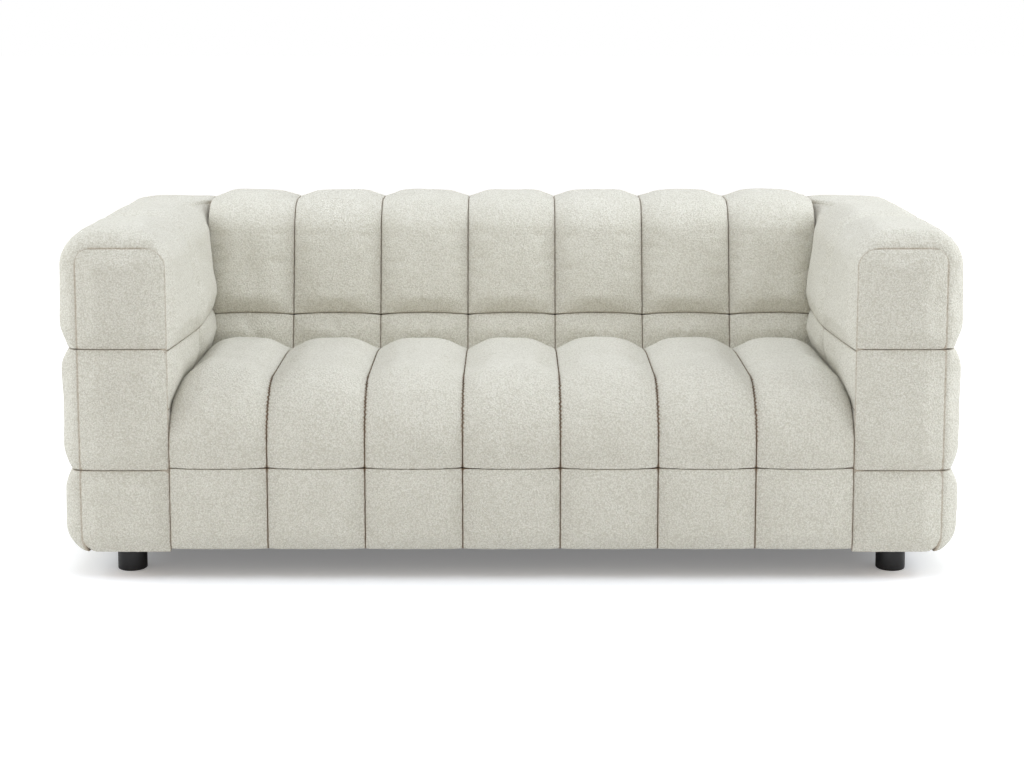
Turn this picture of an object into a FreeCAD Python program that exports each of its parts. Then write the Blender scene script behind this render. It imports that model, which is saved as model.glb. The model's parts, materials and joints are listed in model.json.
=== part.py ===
import FreeCAD, Part
import os
from math import acos, asin, ceil, cos, pi, radians, sin, sqrt, tan

import Sketcher
from FreeCAD import Placement, Rotation, Vector

# A three-seat tuxedo sofa: arms as high as the back, quilted all over in channels.
# X runs to the right as seen from the front, Y to the rear and Z up.
# The origin is on the floor under the middle of the sofa. Millimetres.

doc = FreeCAD.newDocument("tuxedo_sofa")
sheet = doc.addObject("Spreadsheet::Sheet", "Sizes")

# Driving dimensions: alias, value, meaning
dimensions = [
    ("sofa_width", 1930, "over the outer puffs of both arms"),
    ("sofa_depth", 860, "from the seat's front crown to the rear crown"),
    ("sofa_height", 762, "of the back's crown above the floor"),
    ("channel_count", 7, "channels across the seat and across the back"),
    ("arm_thickness", 213, "arm from its inner groove to its outer groove"),
    ("arm_drop", 12, "arm's top grooves under the back's top grooves"),
    ("arm_column", 295, "each of the two front columns of the arm, front to back"),
    ("seat_height", 420, "seat grooves above the floor"),
    ("seat_depth", 535, "arm's front seam to the foot of the back"),
    ("lumbar_depth", 556, "arm's front seam to the lumbar seam"),
    ("back_lean", 12.2, "degrees that the back's front leans"),
    ("hem_height", 60, "lower edge of the arms and the rear"),
    ("seat_hem_height", 65, "lower edge of the seat's front"),
    ("low_seam_height", 240, "lower seam of the arms and the rear"),
    ("seat_seam_height", 246, "seam across the seat's front"),
    ("arm_seam_height", 504, "upper seam of the arm's front and outer side"),
    ("inner_seam_height", 500, "seam of the arm's inner side and of the rear"),
    ("lumbar_seam_height", 486, "seam across the foot of the back"),
    ("arm_padding", 40, "padding under the arm's grooves"),
    ("back_padding", 50, "padding under the back's grooves"),
    ("seat_padding", 50, "padding under the seat's grooves"),
    ("panel_padding", 12, "padding under the edges of the arm's front panels"),
    ("side_crown", 17, "outer puffs of the arms over their grooves"),
    ("front_crown", 15, "seat's front puffs over their grooves"),
    ("rear_crown", 20, "rear puffs over their grooves"),
    ("seat_crown", 27, "seat channels over their grooves"),
    ("back_front_crown", 25, "back channels over their grooves, in front"),
    ("back_top_crown", 10, "back channels over their grooves, on top"),
    ("arm_top_crown", 17, "arm's top puffs over their grooves"),
    ("inner_crown", 6, "arm's inner puffs over their grooves"),
    ("panel_crown", 8, "arm's front panels over their edges"),
    ("inner_swell", 30, "arm's inner face at its seam, over the flat"),
    ("front_edge_drop", 23, "arm's top puff at its front edge, under its grooves"),
    ("seat_side_drop", 27, "outermost seat channels where they meet the arms"),
    ("seat_rear_drop", 9, "seat grooves where they meet the back"),
    ("seat_front_bend", 130, "radius of the seat's front edge at its grooves"),
    ("back_front_bend", 78, "radius of the back's front top edge at its grooves"),
    ("back_rear_bend", 62, "radius of the back's rear top edge at its grooves"),
    ("arm_bend", 52, "radius of the arm's top edges at its grooves"),
    ("panel_outer_round", 28, "outer top corner of the arm's front panel"),
    ("panel_inner_round", 40, "inner top corner of the arm's front panel"),
    ("panel_inset", 13, "arm's front panel from the outer grooves"),
    ("draw_in", 32, "length over which a puff rises from a cross seam"),
    ("hem_tuck", 29, "how far the outer and rear puffs turn in at their hem"),
    ("hem_round", 36, "height over which they turn in"),
    ("corner_round", 45, "rear outer corner of the arms at the grooves"),
    ("corner_draw", 14, "how far the corner's top is drawn in at its two inner seams"),
    ("upright_rise", 5, "over the seat's grooves, where the foot of the back starts to lean"),
    ("lumbar_crown", 16, "lumbar puffs over their grooves"),
    ("seam_gap", 0.3, "between neighbouring puffs, and from puff to frame"),
    ("foot_height", 60, "feet, up to the dust cover"),
    ("foot_diameter", 64, "feet"),
    ("foot_edge", 2, "bevel at the ends of the feet"),
    ("foot_inset_side", 130, "foot centre from the outer crown"),
    ("foot_inset_front", 90, "foot centre from the arm's front seam"),
    ("foot_inset_rear", 90, "foot centre from the rear grooves"),
    ("stud_diameter", 8, "threaded stud of a foot"),
    ("stud_depth", 25, "of the stud in its foot"),
    ("stud_clearance", 0.1, "round the stud in its foot and its nut"),
    ("cover_thickness", 1.5, "dust cover"),
    ("board", 30, "thick boards of the arms' bottoms and posts"),
    ("plank", 25, "seat rails and bolt rails"),
    ("plywood", 18, "ribs, top boards and the back's boards"),
    ("hardboard", 4, "arm side panels"),
    ("rear_sheet", 3, "rear panel of the back"),
    ("rail_width", 100, "seat rails and rear planks"),
    ("foam_spare", 2, "seat foam's depth over the inside radius of the seat's front edge"),
    ("bolt_diameter", 8, "frame bolts"),
    ("bolt_clearance", 0.4, "round a frame bolt in its holes"),
    ("bolt_drop", 41.8, "seat bolts under the top of the seat rails"),
    ("bolt_front", 185, "front seat bolt from the arm's front seam"),
    ("bolt_rear", 450, "rear seat bolt from the arm's front seam"),
    ("back_bolt_low", 300, "lower back bolt above the floor"),
    ("back_bolt_high", 560, "upper back bolt above the floor"),
    ("head_height", 5.3, "bolt heads"),
    ("head_width", 13, "bolt heads and nuts, across the flats"),
    ("nut_height", 6.5, "nuts"),
    ("washer_thickness", 1.6, "washers"),
    ("washer_diameter", 24, "washers"),
    ("rib_count", 6, "ribs of the back"),
    ("spring_count", 9, "sinuous springs"),
    ("spring_wire", 3.8, "wire of the springs"),
    ("spring_rung", 34, "straight part of each rung of a spring"),
    ("spring_pitch", 22, "rung to rung of a spring"),
    ("wire_slack", 0.2, "round the spring wire in its clips"),
    ("clip_wall", 1.2, "spring clips"),
    ("felt", 4, "felt over the springs"),
    ("felt_edge", 4, "felt from the front face of the front rail"),
    ("sheet_slack", 0.5, "felt and foam from the arm at each side"),
    ("strap_count", 4, "webbing straps of the back"),
    ("strap_width", 50, "webbing straps"),
    ("strap_thickness", 1.8, "webbing straps"),
    ("strap_foot", 25, "lowest strap over the seat's frame"),
    ("strap_head", 15, "highest strap from the top board"),
    ("cross_rail_count", 2, "rails under the springs, front to back"),
    ("corner_block", 70, "legs of the seat frame's corner blocks"),
    ("block_drop", 10, "corner blocks under the top of the rails"),
    ("tee_wall", 1, "barrel of a foot's tee nut"),
    ("tee_flange", 1.5, "flange of a foot's tee nut"),
    ("thread_end", 3, "of a frame bolt past its nut"),
    ("rail_rise", 1, "front rail over the seat's hem"),
]
for row, (alias, value, meaning) in enumerate(dimensions, start=1):
    sheet.set(f"A{row}", meaning)
    sheet.set(f"B{row}", str(value))
    sheet.setAlias(f"B{row}", alias)
doc.recompute()

# Planes that several pieces share, as formulas of the sheet
front = "(Sizes.front_crown - Sizes.sofa_depth / 2)"
rear = "(Sizes.sofa_depth / 2 - Sizes.rear_crown)"
back_top = "(Sizes.sofa_height - Sizes.back_top_crown)"
arm_top = f"({back_top} - Sizes.arm_drop)"
arm_outer = "(Sizes.sofa_width / 2 - Sizes.side_crown)"
arm_inner = f"({arm_outer} - Sizes.arm_thickness)"
core_inner = f"({arm_inner} + Sizes.arm_padding)"
core_outer = f"({arm_outer} - Sizes.arm_padding)"
core_top = f"({arm_top} - Sizes.arm_padding)"
core_rear = f"({rear} - Sizes.arm_padding)"
column_one = f"({front} + Sizes.arm_column)"
column_two = f"({front} + 2 * Sizes.arm_column)"
seat_base = "(Sizes.seat_height - Sizes.seat_padding)"
seat_face = f"({front} + Sizes.seat_padding)"
back_foot = f"({front} + Sizes.seat_depth)"
rib_front = f"({back_foot} + Sizes.back_padding)"
frame_bottom = "(Sizes.foot_height + Sizes.cover_thickness)"
panel_face = f"({core_inner} + Sizes.seam_gap)"
post_inner = f"({panel_face} + Sizes.hardboard)"
post_outer = f"({core_outer} - Sizes.seam_gap - Sizes.hardboard)"
post_front = f"({front} + Sizes.panel_padding + Sizes.seam_gap)"
post_rear = f"({core_rear} - Sizes.seam_gap)"
rail_front = f"({seat_face} + Sizes.seam_gap)"
back_core = f"({rear} - Sizes.back_padding - Sizes.seam_gap)"
back_core_top = f"({back_top} - Sizes.back_padding - Sizes.seam_gap)"
lean_cos = "cos(Sizes.back_lean * 1 deg)"
face_shift = f"((Sizes.seam_gap + Sizes.strap_thickness) / {lean_cos})"
lean_tan = "tan(Sizes.back_lean * 1 deg)"
base_at_seam = (f"({front} + Sizes.lumbar_depth + Sizes.back_padding * {lean_cos}"
                f" + (Sizes.back_padding * sin(Sizes.back_lean * 1 deg) - Sizes.lumbar_seam_height)"
                f" * {lean_tan})")


def rib_face(height):
    """Formula for the ribs' leaning front at a height."""
    return f"({base_at_seam} + {face_shift} + ({height}) * {lean_tan})"


wire_room = "(Sizes.spring_wire + 2 * Sizes.wire_slack)"
foam_top = f"({seat_base} - Sizes.seam_gap)"
foam_low = f"({foam_top} - Sizes.seat_front_bend + Sizes.seat_padding - Sizes.foam_spare)"
felt_low = f"({foam_low} - Sizes.felt)"
rail_top = f"({felt_low} - Sizes.seam_gap - 2 * Sizes.clip_wall - {wire_room})"
rail_bottom = f"({rail_top} - Sizes.rail_width)"


def number(formula):
    """Value of a formula of the sheet."""
    return float(sheet.evalExpression(str(formula)))


def size(alias):
    """Value of one cell of the sheet."""
    return float(getattr(sheet, alias))


pieces = {}


def keep(name, solids):
    """Make one named sub-part of one object, or of a group of like objects."""
    if len(solids) == 1:
        part = solids[0]
    else:
        part = doc.addObject("Part::Compound", name)
        part.Links = solids
    part.Label = name
    pieces[name] = part


def place(part, corner):
    """Tie a part's position to three formulas."""
    for axis, formula in zip("xyz", corner):
        part.setExpression(f"Placement.Base.{axis}", str(formula))


# Padded puffs

crown_sag = 0.2
flat_crown = 0.05
bend_step = radians(10)
straight_step = 60
least_step = 3
rising = (0.0, 0.12, 0.35, 0.65, 1.0)


def crown_section(corner, across, outward, width, edges, dips, crown, shoulder):
    """Closed section of a puff: flat base, two edges, and three tangent arcs over the crown.

    edges are the heights of the grooves over the base, and dips lower the ends of the shoulders
    under them. A puff with no crown has a flat top.
    """
    groove_a = corner + outward * edges[0]
    groove_b = corner + across * width + outward * edges[1]
    along = groove_b - groove_a
    half = along.Length / 2
    along.normalize()
    up = outward - along * outward.dot(along)
    up.normalize()
    middle = (groove_a + groove_b) * 0.5
    flat = half - shoulder

    def spot(x, y):
        return middle + along * x + up * y

    base_b = corner + across * width
    top_a = groove_a - outward * dips[0]
    top_b = groove_b - outward * dips[1]
    if crown < flat_crown:
        ring = [corner, base_b, top_b, spot(flat, 0), spot(-flat, 0), top_a, corner]
        return Part.Wire([Part.LineSegment(*ends).toShape() for ends in zip(ring, ring[1:])])

    sag = crown_sag * crown
    drop = crown - sag
    radius = (flat ** 2 + sag ** 2) / (2 * sag)
    tilt = asin(flat / radius)
    knee_a = spot(-flat, drop)
    knee_b = spot(flat, drop)

    def shoulder_middle(way, dip):
        fall = drop + dip
        small = (shoulder ** 2 + fall ** 2) / (2 * (fall * cos(tilt) - shoulder * sin(tilt)))
        centre = (flat - small * sin(tilt), drop - small * cos(tilt))
        halfway = (flat + shoulder / 2 - centre[0], drop - fall / 2 - centre[1])
        reach = small / sqrt(halfway[0] ** 2 + halfway[1] ** 2)
        return spot(way * (centre[0] + halfway[0] * reach), centre[1] + halfway[1] * reach)

    return Part.Wire([
        Part.LineSegment(corner, base_b).toShape(),
        Part.LineSegment(base_b, top_b).toShape(),
        Part.Arc(top_b, shoulder_middle(1, dips[1]), knee_b).toShape(),
        Part.Arc(knee_b, spot(0, crown), knee_a).toShape(),
        Part.Arc(knee_a, shoulder_middle(-1, dips[0]), top_a).toShape(),
        Part.LineSegment(top_a, corner).toShape(),
    ])


def stations(start, heading, runs):
    """Places along a path of straight runs and right-hand bends, each run a length and a turn.

    Each place is its point, its outward normal (to the left of the path) and the length so far.
    """
    u, v = start
    travelled = 0.0
    found = []
    for length, turn in runs:
        steps = ceil(turn / bend_step) if turn else ceil(length / straight_step)
        if not found:
            found.append((u, v, heading, travelled))
        for _ in range(steps):
            step = length / steps
            bend = turn / steps
            chord = step if not turn else step * sin(bend / 2) / (bend / 2)
            u += chord * cos(heading - bend / 2)
            v += chord * sin(heading - bend / 2)
            heading -= bend
            travelled += step
            found.append((u, v, heading, travelled))
    return found


def closed_loft(sections):
    """Solid through sections of the same number of edges, straight from each to the next."""
    solid = Part.makeLoft(sections, True, True)
    if solid.Volume < 0:
        solid.reverse()
    return solid


def no_dips(spot):
    return 0.0, 0.0


def puff(name, path, plane, lateral, edges, crown, shoulder, ends, dips=no_dips, mirrored=False,
         marks=()):
    """Loft one puff along a path.

    plane maps the path's two coordinates into space, lateral(spot) gives the puff's two sides,
    edges(spot) its heights over the base at those sides, dips(spot) how far its shoulders end
    under them, and crown(spot) its full crown. ends are the shares of the crown left at the
    path's two ends, where the seams draw it in. marks are lengths along the path where a section
    has to lie, because the crown starts or ends there.
    """
    total = path[-1][3]
    reach = min(size("draw_in"), total / 3)
    heads = [along_path(path, reach * share) for share in rising]
    tails = [along_path(path, total - reach * share) for share in reversed(rising)]
    marked = [along_path(path, mark) for mark in marks]
    spaced = [spot for spot in path
              if all(abs(spot[3] - mark) > least_step for mark in marks)]
    inner = [spot for spot in sorted(marked + spaced, key=lambda spot: spot[3])
             if heads[-1][3] + least_step < spot[3] < tails[0][3] - least_step]
    sections = []
    for spot in heads + inner + tails:
        u, v, heading, travelled = spot
        head_share = min(1.0, travelled / reach)
        tail_share = min(1.0, (total - travelled) / reach)
        share = min(ends[0] + (1 - ends[0]) * sqrt(head_share * (2 - head_share)),
                    ends[1] + (1 - ends[1]) * sqrt(tail_share * (2 - tail_share)))
        side_a, side_b = lateral(spot)
        origin = plane(u, v, side_a)
        across = plane(u, v, side_b) - origin
        width = across.Length
        across.normalize()
        outward = plane(u - sin(heading), v + cos(heading), side_a) - origin
        sections.append(crown_section(origin, across, outward, width, edges(spot), dips(spot),
                                      crown(spot) * share, min(shoulder, width / 3)))
    solid = closed_loft(sections)
    if mirrored:
        solid = solid.mirror(Vector(0, 0, 0), Vector(1, 0, 0))
    feature = doc.addObject("Part::Feature", name)
    feature.Shape = solid
    feature.Placement = Placement()
    return feature


def along_path(path, travelled):
    """Place at a length along a path, between two of its stations."""
    for before, after in zip(path, path[1:]):
        if travelled <= after[3] + 1e-9:
            break
    share = (travelled - before[3]) / (after[3] - before[3])
    step = after[3] - before[3]
    turn = (before[2] - after[2]) * share
    length = step * share
    chord = length if abs(turn) < 1e-9 else length * sin(turn / 2) / (turn / 2)
    u = before[0] + chord * cos(before[2] - turn / 2)
    v = before[1] + chord * sin(before[2] - turn / 2)
    return u, v, before[2] - turn, travelled


def across_x(u, v, side):
    """Path in the side view, puff across the sofa."""
    return Vector(side, u, v)


def across_y(u, v, side):
    """Path in the front view, puff along the arm."""
    return Vector(u, side, v)


up_heading = pi / 2
down_heading = -pi / 2
gap = size("seam_gap")
half_gap = gap / 2
channel_pitch = 2 * number(arm_inner) / size("channel_count")
channels = range(int(size("channel_count")))


def channel_sides(index):
    """Left and right side of one channel across the sofa."""
    low = -number(arm_inner) + index * channel_pitch
    return low + half_gap, low + channel_pitch - half_gap


def blended(heading, before, above, behind):
    """Value that goes smoothly from the front to the top to the rear as a surface turns."""
    forward = -sin(heading)
    upward = cos(heading)
    return (before if forward < 0 else behind) * forward ** 2 + above * upward ** 2


# Seat channels: up from the seam, round the front edge and back to the foot of the back
bend_room = number(seat_base) - size("seat_seam_height") - half_gap
seat_bend = min(size("seat_front_bend") - size("seat_padding"), bend_room - least_step)
seat_rise = number(seat_base) - seat_bend - size("seat_seam_height") - half_gap
seat_run = size("seat_depth") - size("seat_padding") - seat_bend - gap
seat_path = stations(
    (number(seat_face), size("seat_seam_height") + half_gap), up_heading,
    [(seat_rise, 0), (seat_bend * pi / 2, pi / 2), (seat_run, 0)])
seat_length = seat_path[-1][3]
rear_ease = 90


def seat_edges(spot):
    """Groove heights of the seat channels; they fall a little to the back."""
    to_end = seat_length - spot[3]
    level = size("seat_padding") - size("seat_rear_drop") * max(0.0, 1 - to_end / rear_ease) ** 2
    return level, level


def seat_dips(index):
    """How far the two outermost channels go down beside the arms."""
    last = int(size("channel_count")) - 1

    def dips(spot):
        dip = size("seat_side_drop") * max(0.0, cos(spot[2])) ** 2
        return (dip if index == 0 else 0.0, dip if index == last else 0.0)

    return dips


def seat_channel_crown(spot):
    return blended(spot[2], size("front_crown"), size("seat_crown"), 0)


for index in channels:
    keep(f"seat_channel_{index + 1}", [puff(
        f"seat_channel_{index + 1}", seat_path, across_x, lambda spot, i=index: channel_sides(i),
        seat_edges, seat_channel_crown, shoulder=55, ends=(0.45, 0.6), dips=seat_dips(index))])

border_path = stations(
    (number(seat_face), size("seat_hem_height")), up_heading,
    [(size("seat_seam_height") - half_gap - size("seat_hem_height"), 0)])
keep("seat_border", [puff(
    f"seat_border_puff_{index + 1}", border_path, across_x, lambda spot, i=index: channel_sides(i),
    lambda spot: (size("seat_padding"),) * 2, lambda spot: size("front_crown"), shoulder=45,
    ends=(0.4, 0.45)) for index in channels])

# Back channels: up the leaning front from the lumbar seam, over the top and down the rear
lean = radians(size("back_lean"))
padding = size("back_padding")
lumbar_start = (number(front) + size("lumbar_depth") + padding * cos(lean),
                size("lumbar_seam_height") - padding * sin(lean))
front_bend = size("back_front_bend") - padding
rear_bend = size("back_rear_bend") - padding
top_base = number(back_top) - padding
rear_base = number(rear) - padding
lean_rise = top_base - front_bend * (1 - sin(lean)) - lumbar_start[1]
bend_centre = lumbar_start[0] + lean_rise * tan(lean) + front_bend * cos(lean)
back_path = stations(
    (lumbar_start[0] + half_gap * sin(lean), lumbar_start[1] + half_gap * cos(lean)),
    up_heading - lean,
    [(lean_rise / cos(lean) - half_gap, 0),
     (front_bend * (pi / 2 - lean), pi / 2 - lean),
     (rear_base - rear_bend - bend_centre, 0),
     (rear_bend * pi / 2, pi / 2),
     (top_base - rear_bend - size("inner_seam_height") - half_gap, 0)])


def back_crown(spot):
    return blended(spot[2], size("back_front_crown"), size("back_top_crown"), size("rear_crown"))


for index in channels:
    keep(f"back_channel_{index + 1}", [puff(
        f"back_channel_{index + 1}", back_path, across_x, lambda spot, i=index: channel_sides(i),
        lambda spot: (padding,) * 2, back_crown, shoulder=50, ends=(0.3, 0.3))])

# Lumbar row: upright behind the seat's end, then leaning up to the seam
upright_top = size("seat_height") + size("upright_rise")
lumbar_drop = lumbar_start[1] - number(seat_base) - gap
lumbar_foot = (lumbar_start[0] - lumbar_drop * tan(lean), number(seat_base) + gap)
lumbar_path = stations(
    lumbar_foot, up_heading - lean, [(lumbar_drop / cos(lean) - half_gap, 0)])


def lumbar_edges(spot):
    groove_height = spot[1] + padding * sin(lean)
    share = (groove_height - upright_top) / (size("lumbar_seam_height") - upright_top)
    groove = size("seat_depth") + (size("lumbar_depth") - size("seat_depth")) * max(0.0, share)
    height = (spot[0] - number(front) - groove) / cos(lean)
    return height, height


lumbar_flat = 8
lumbar_rise = 25


def lumbar_crown(spot):
    """Crown of the lumbar puffs, which are flat where the seat lies against them."""
    above_seat = spot[1] + padding * sin(lean) - upright_top - lumbar_flat
    return size("lumbar_crown") * min(1.0, max(0.0, above_seat / lumbar_rise))


lumbar_marks = [(upright_top + above - padding * sin(lean) - lumbar_foot[1]) / cos(lean)
                for above in (0, lumbar_flat, lumbar_flat + lumbar_rise)]
keep("back_lumbar_row", [puff(
    f"lumbar_puff_{index + 1}", lumbar_path, across_x, lambda spot, i=index: channel_sides(i),
    lumbar_edges, lumbar_crown, shoulder=45, ends=(1.0, 0.3), marks=lumbar_marks)
    for index in channels])

# Rear face of the back: two rows under the channels
rear_rows = {
    "back_outer_middle_row": ("inner_seam_height", "low_seam_height"),
    "back_outer_bottom_row": ("low_seam_height", "hem_height"),
}


def tuck(height):
    """How far a puff turns in at its hem, at a height above the floor."""
    share = min(1.0, max(0.0, 1 - (height - size("hem_height")) / size("hem_round")))
    return size("hem_tuck") * (1 - sqrt(1 - share ** 2))


def rear_edges(spot):
    level = padding - tuck(spot[1])
    return level, level


for name, (upper, lower) in rear_rows.items():
    foot_gap = 0 if lower == "hem_height" else half_gap
    row_path = stations(
        (rear_base, size(upper) - half_gap), down_heading,
        [(size(upper) - half_gap - size(lower) - foot_gap, 0)])
    keep(name, [puff(
        f"{name}_puff_{index + 1}", row_path, across_x, lambda spot, i=index: channel_sides(i),
        rear_edges, lambda spot: size("rear_crown"), shoulder=45, ends=(0.3, 0.35))
        for index in channels])

# Arms: the right arm's puffs, mirrored for the left arm
arm_pad = size("arm_padding")
arm_base_bend = size("arm_bend") - arm_pad
inner_base = number(core_inner)
outer_base = number(core_outer)
top_level = number(core_top)
seam_inner = size("inner_seam_height")
seam_outer = size("arm_seam_height")
arm_over_path = stations(
    (inner_base, seam_inner + half_gap), up_heading,
    [(top_level - arm_base_bend - seam_inner - half_gap, 0),
     (arm_base_bend * pi / 2, pi / 2),
     (outer_base - inner_base - 2 * arm_base_bend, 0),
     (arm_base_bend * pi / 2, pi / 2),
     (top_level - arm_base_bend - seam_outer - half_gap, 0)])
column_starts = [number(post_front), number(column_one) + half_gap]
column_ends = [number(column_one) - half_gap, number(column_two) - half_gap]
column_names = ["front", "middle"]


def swell(spot, foot, top):
    """Extra height of the arm's inner face at its middle seam, greatest at its cross seam."""
    if spot[0] > inner_base + 1:
        return 0.0
    height = spot[1]
    if height >= seam_inner:
        share = (top - height) / (top - seam_inner)
    else:
        share = (height - foot) / (seam_inner - foot)
    share = min(1.0, max(0.0, share))
    return size("inner_swell") * share * share * (3 - 2 * share)


def over_edges(column):
    """Groove heights of an arm top puff at its front and rear sides."""

    def edges(spot):
        raised = arm_pad + swell(spot, 0, top_level)
        return (arm_pad, raised) if column == 0 else (raised, arm_pad)

    return edges


def front_dips(column):
    """How far a front puff goes down to the edge of the arm's front panels."""

    def dips(spot):
        upward = max(0.0, cos(spot[2])) ** 2
        sideways = max(0.0, -sin(spot[2])) ** 2
        dip = size("front_edge_drop") * upward + size("panel_inset") * sideways
        return (dip, 0.0) if column == 0 else (0.0, 0.0)

    return dips


def over_crown(spot):
    return blended(spot[2], size("inner_crown"), size("arm_top_crown"), size("side_crown"))


# Room that an arm's inner side leaves for the back, whose front leans
room_spare = 2
back_reach = size("back_front_crown") + room_spare
room_foot = number(back_foot) - room_spare / 2
room_lean_start = number(front) + size("lumbar_depth") - back_reach
room_top = number(back_top) + 2 * size("arm_top_crown")
room_corners = [
    Vector(0, room_foot, 0),
    Vector(0, room_foot, upright_top),
    Vector(0, room_lean_start, size("lumbar_seam_height")),
    Vector(0, room_lean_start + (room_top - size("lumbar_seam_height")) * tan(lean), room_top),
    Vector(0, number(rear), room_top),
    Vector(0, number(rear), 0),
]
room_depth = size("inner_swell") + size("inner_crown") + arm_pad
room_outline = Part.makePolygon(room_corners + room_corners[:1])
back_room = Part.Face(room_outline).extrude(Vector(room_depth, 0, 0))
back_room.translate(Vector(number(arm_inner) + half_gap - room_depth, 0, 0))

for side, mirrored in (("right", False), ("left", True)):
    room = back_room.mirror(Vector(0, 0, 0), Vector(1, 0, 0)) if mirrored else back_room
    for column, column_name in enumerate(column_names):
        name = f"arm_{side}_top_puff_{column_name}"
        feature = puff(
            name, arm_over_path, across_y,
            lambda spot, c=column: (column_starts[c], column_ends[c]),
            over_edges(column), over_crown, shoulder=50, ends=(0.8, 0.35),
            dips=front_dips(column), mirrored=mirrored)
        if column == 1:
            feature.Shape = feature.Shape.cut(room).Solids[0]
            feature.Placement = Placement()
        keep(name, [feature])

# Lower inner pads of the arms, and the flat apron that faces the arm in front of the seat frame
pad_foot = number(seat_base) + gap
pad_path = stations((inner_base, pad_foot), up_heading, [(seam_inner - half_gap - pad_foot, 0)])
pad_ends = [column_ends[0], number(rib_face(seat_base)) - gap]
seat_contact = size("seat_height") - size("seat_side_drop")
swell_start = 12
pad_flat = 20
pad_rise = 40


def pad_edges(column):
    def edges(spot):
        raised = arm_pad + swell(spot, seat_contact + swell_start, top_level)
        return (arm_pad, raised) if column == 0 else (raised, arm_pad)

    return edges


def pad_crown(spot):
    """Crown of the inner puffs, which are flat where the seat lies against them."""
    above_seat = spot[1] - seat_contact - pad_flat
    return size("inner_crown") * min(1.0, max(0.0, above_seat / pad_rise))


pad_marks = [seat_contact + above - pad_foot for above in (swell_start, pad_flat, pad_flat + pad_rise)]
for side, mirrored in (("right", False), ("left", True)):
    room = back_room.mirror(Vector(0, 0, 0), Vector(1, 0, 0)) if mirrored else back_room
    pads = []
    for column, column_name in enumerate(column_names):
        feature = puff(
            f"arm_{side}_inner_puff_{column_name}", pad_path, across_y,
            lambda spot, c=column: (column_starts[c], pad_ends[c]),
            pad_edges(column), pad_crown, shoulder=50, ends=(1.0, 0.8), mirrored=mirrored,
            marks=pad_marks)
        if column == 1:
            feature.Shape = feature.Shape.cut(room).Solids[0]
            feature.Placement = Placement()
        pads.append(feature)
    apron = doc.addObject("Part::Box", f"arm_{side}_apron")
    apron.setExpression("Length", "Sizes.arm_padding - Sizes.seam_gap / 2")
    apron.setExpression("Width", f"{seat_face} - {post_front}")
    apron.setExpression("Height", f"{seat_base} - Sizes.hem_height")
    apron_low = f"{arm_inner} + Sizes.seam_gap / 2"
    if mirrored:
        apron_low = f"-({apron_low}) - (Sizes.arm_padding - Sizes.seam_gap / 2)"
    place(apron, (apron_low, post_front, "Sizes.hem_height"))
    keep(f"arm_{side}_inner_pad", pads + [apron])

# Front panels of the arms: three boxed panels one over another
panel_base = number(front) + size("panel_padding")
panel_low = number(arm_inner) + half_gap
panel_high = number(arm_outer) - size("panel_inset")
panel_top = number(arm_top) - size("front_edge_drop")
panel_levels = [size("hem_height"), size("low_seam_height"), seam_outer, panel_top]


def panel_sides(spot):
    """Sides of the panel; its top corners and its outer bottom corner are round."""
    inner_round = size("panel_inner_round")
    outer_round = size("panel_outer_round")
    hem_round = size("hem_round")
    into_inner = min(0.97 * inner_round, max(0.0, spot[1] - panel_top + inner_round))
    into_outer = min(0.97 * outer_round, max(0.0, spot[1] - panel_top + outer_round))
    into_hem = min(0.9 * hem_round, max(0.0, size("hem_height") + hem_round - spot[1]))
    return (panel_low + inner_round - sqrt(inner_round ** 2 - into_inner ** 2),
            panel_high - outer_round + sqrt(outer_round ** 2 - into_outer ** 2)
            - hem_round + sqrt(hem_round ** 2 - into_hem ** 2))


for side, mirrored in (("right", False), ("left", True)):
    panels = []
    for level, (low, high) in enumerate(zip(panel_levels, panel_levels[1:])):
        low_gap = 0 if level == 0 else half_gap
        high_gap = half_gap if level < 2 else 0
        panel_path = stations(
            (panel_base, low + low_gap), up_heading, [(high - high_gap - low - low_gap, 0)])
        panels.append(puff(
            f"arm_{side}_front_panel_{level + 1}", panel_path, across_x, panel_sides,
            lambda spot: (size("panel_padding"),) * 2, lambda spot: size("panel_crown"),
            shoulder=35, ends=(0.4, 0.3), mirrored=mirrored))
    keep(f"arm_{side}_front_panels", panels)

# Rear corners of the arms: puffs that wrap round the corner, hollow over the frame
corner_shoulder = 50
least_flat = 0.9


def corner_section(height, inward, pull, crown):
    """Closed level section of a corner puff: two flat sides, and crowned outer and rear sides.

    inward draws in the two flat sides, and pull the two crowned ones.
    """
    x0 = number(arm_inner) + half_gap + inward
    y0 = number(column_two) + half_gap + inward
    x1 = number(arm_outer) - pull
    y1 = number(rear) - pull
    side = x1 + crown
    behind = y1 + crown
    turn = size("corner_round") + crown - 0.4 * pull
    shoulder = min(corner_shoulder, least_flat * (side - turn - x0), least_flat * (behind - turn - y0))
    radius = (crown ** 2 + shoulder ** 2) / (2 * crown)
    swing = acos(1 - crown / radius)
    run = shoulder - radius * sin(swing / 2)
    rise = radius * (1 - cos(swing / 2))
    bevel = turn * (1 - sqrt(0.5))
    spots = [
        Vector(x0, y0, height), Vector(x1, y0, height),
        Vector(side, y0 + shoulder, height), Vector(side, behind - turn, height),
        Vector(side - turn, behind, height), Vector(x0 + shoulder, behind, height),
        Vector(x0, y1, height),
    ]
    middles = {
        1: Vector(side - rise, y0 + run, height),
        3: Vector(side - bevel, behind - bevel, height),
        5: Vector(x0 + run, behind - rise, height),
    }
    edges = []
    for index, spot in enumerate(spots):
        after = spots[(index + 1) % len(spots)]
        if index in middles:
            edges.append(Part.Arc(spot, middles[index], after).toShape())
        else:
            edges.append(Part.LineSegment(spot, after).toShape())
    return Part.Wire(edges)


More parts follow.
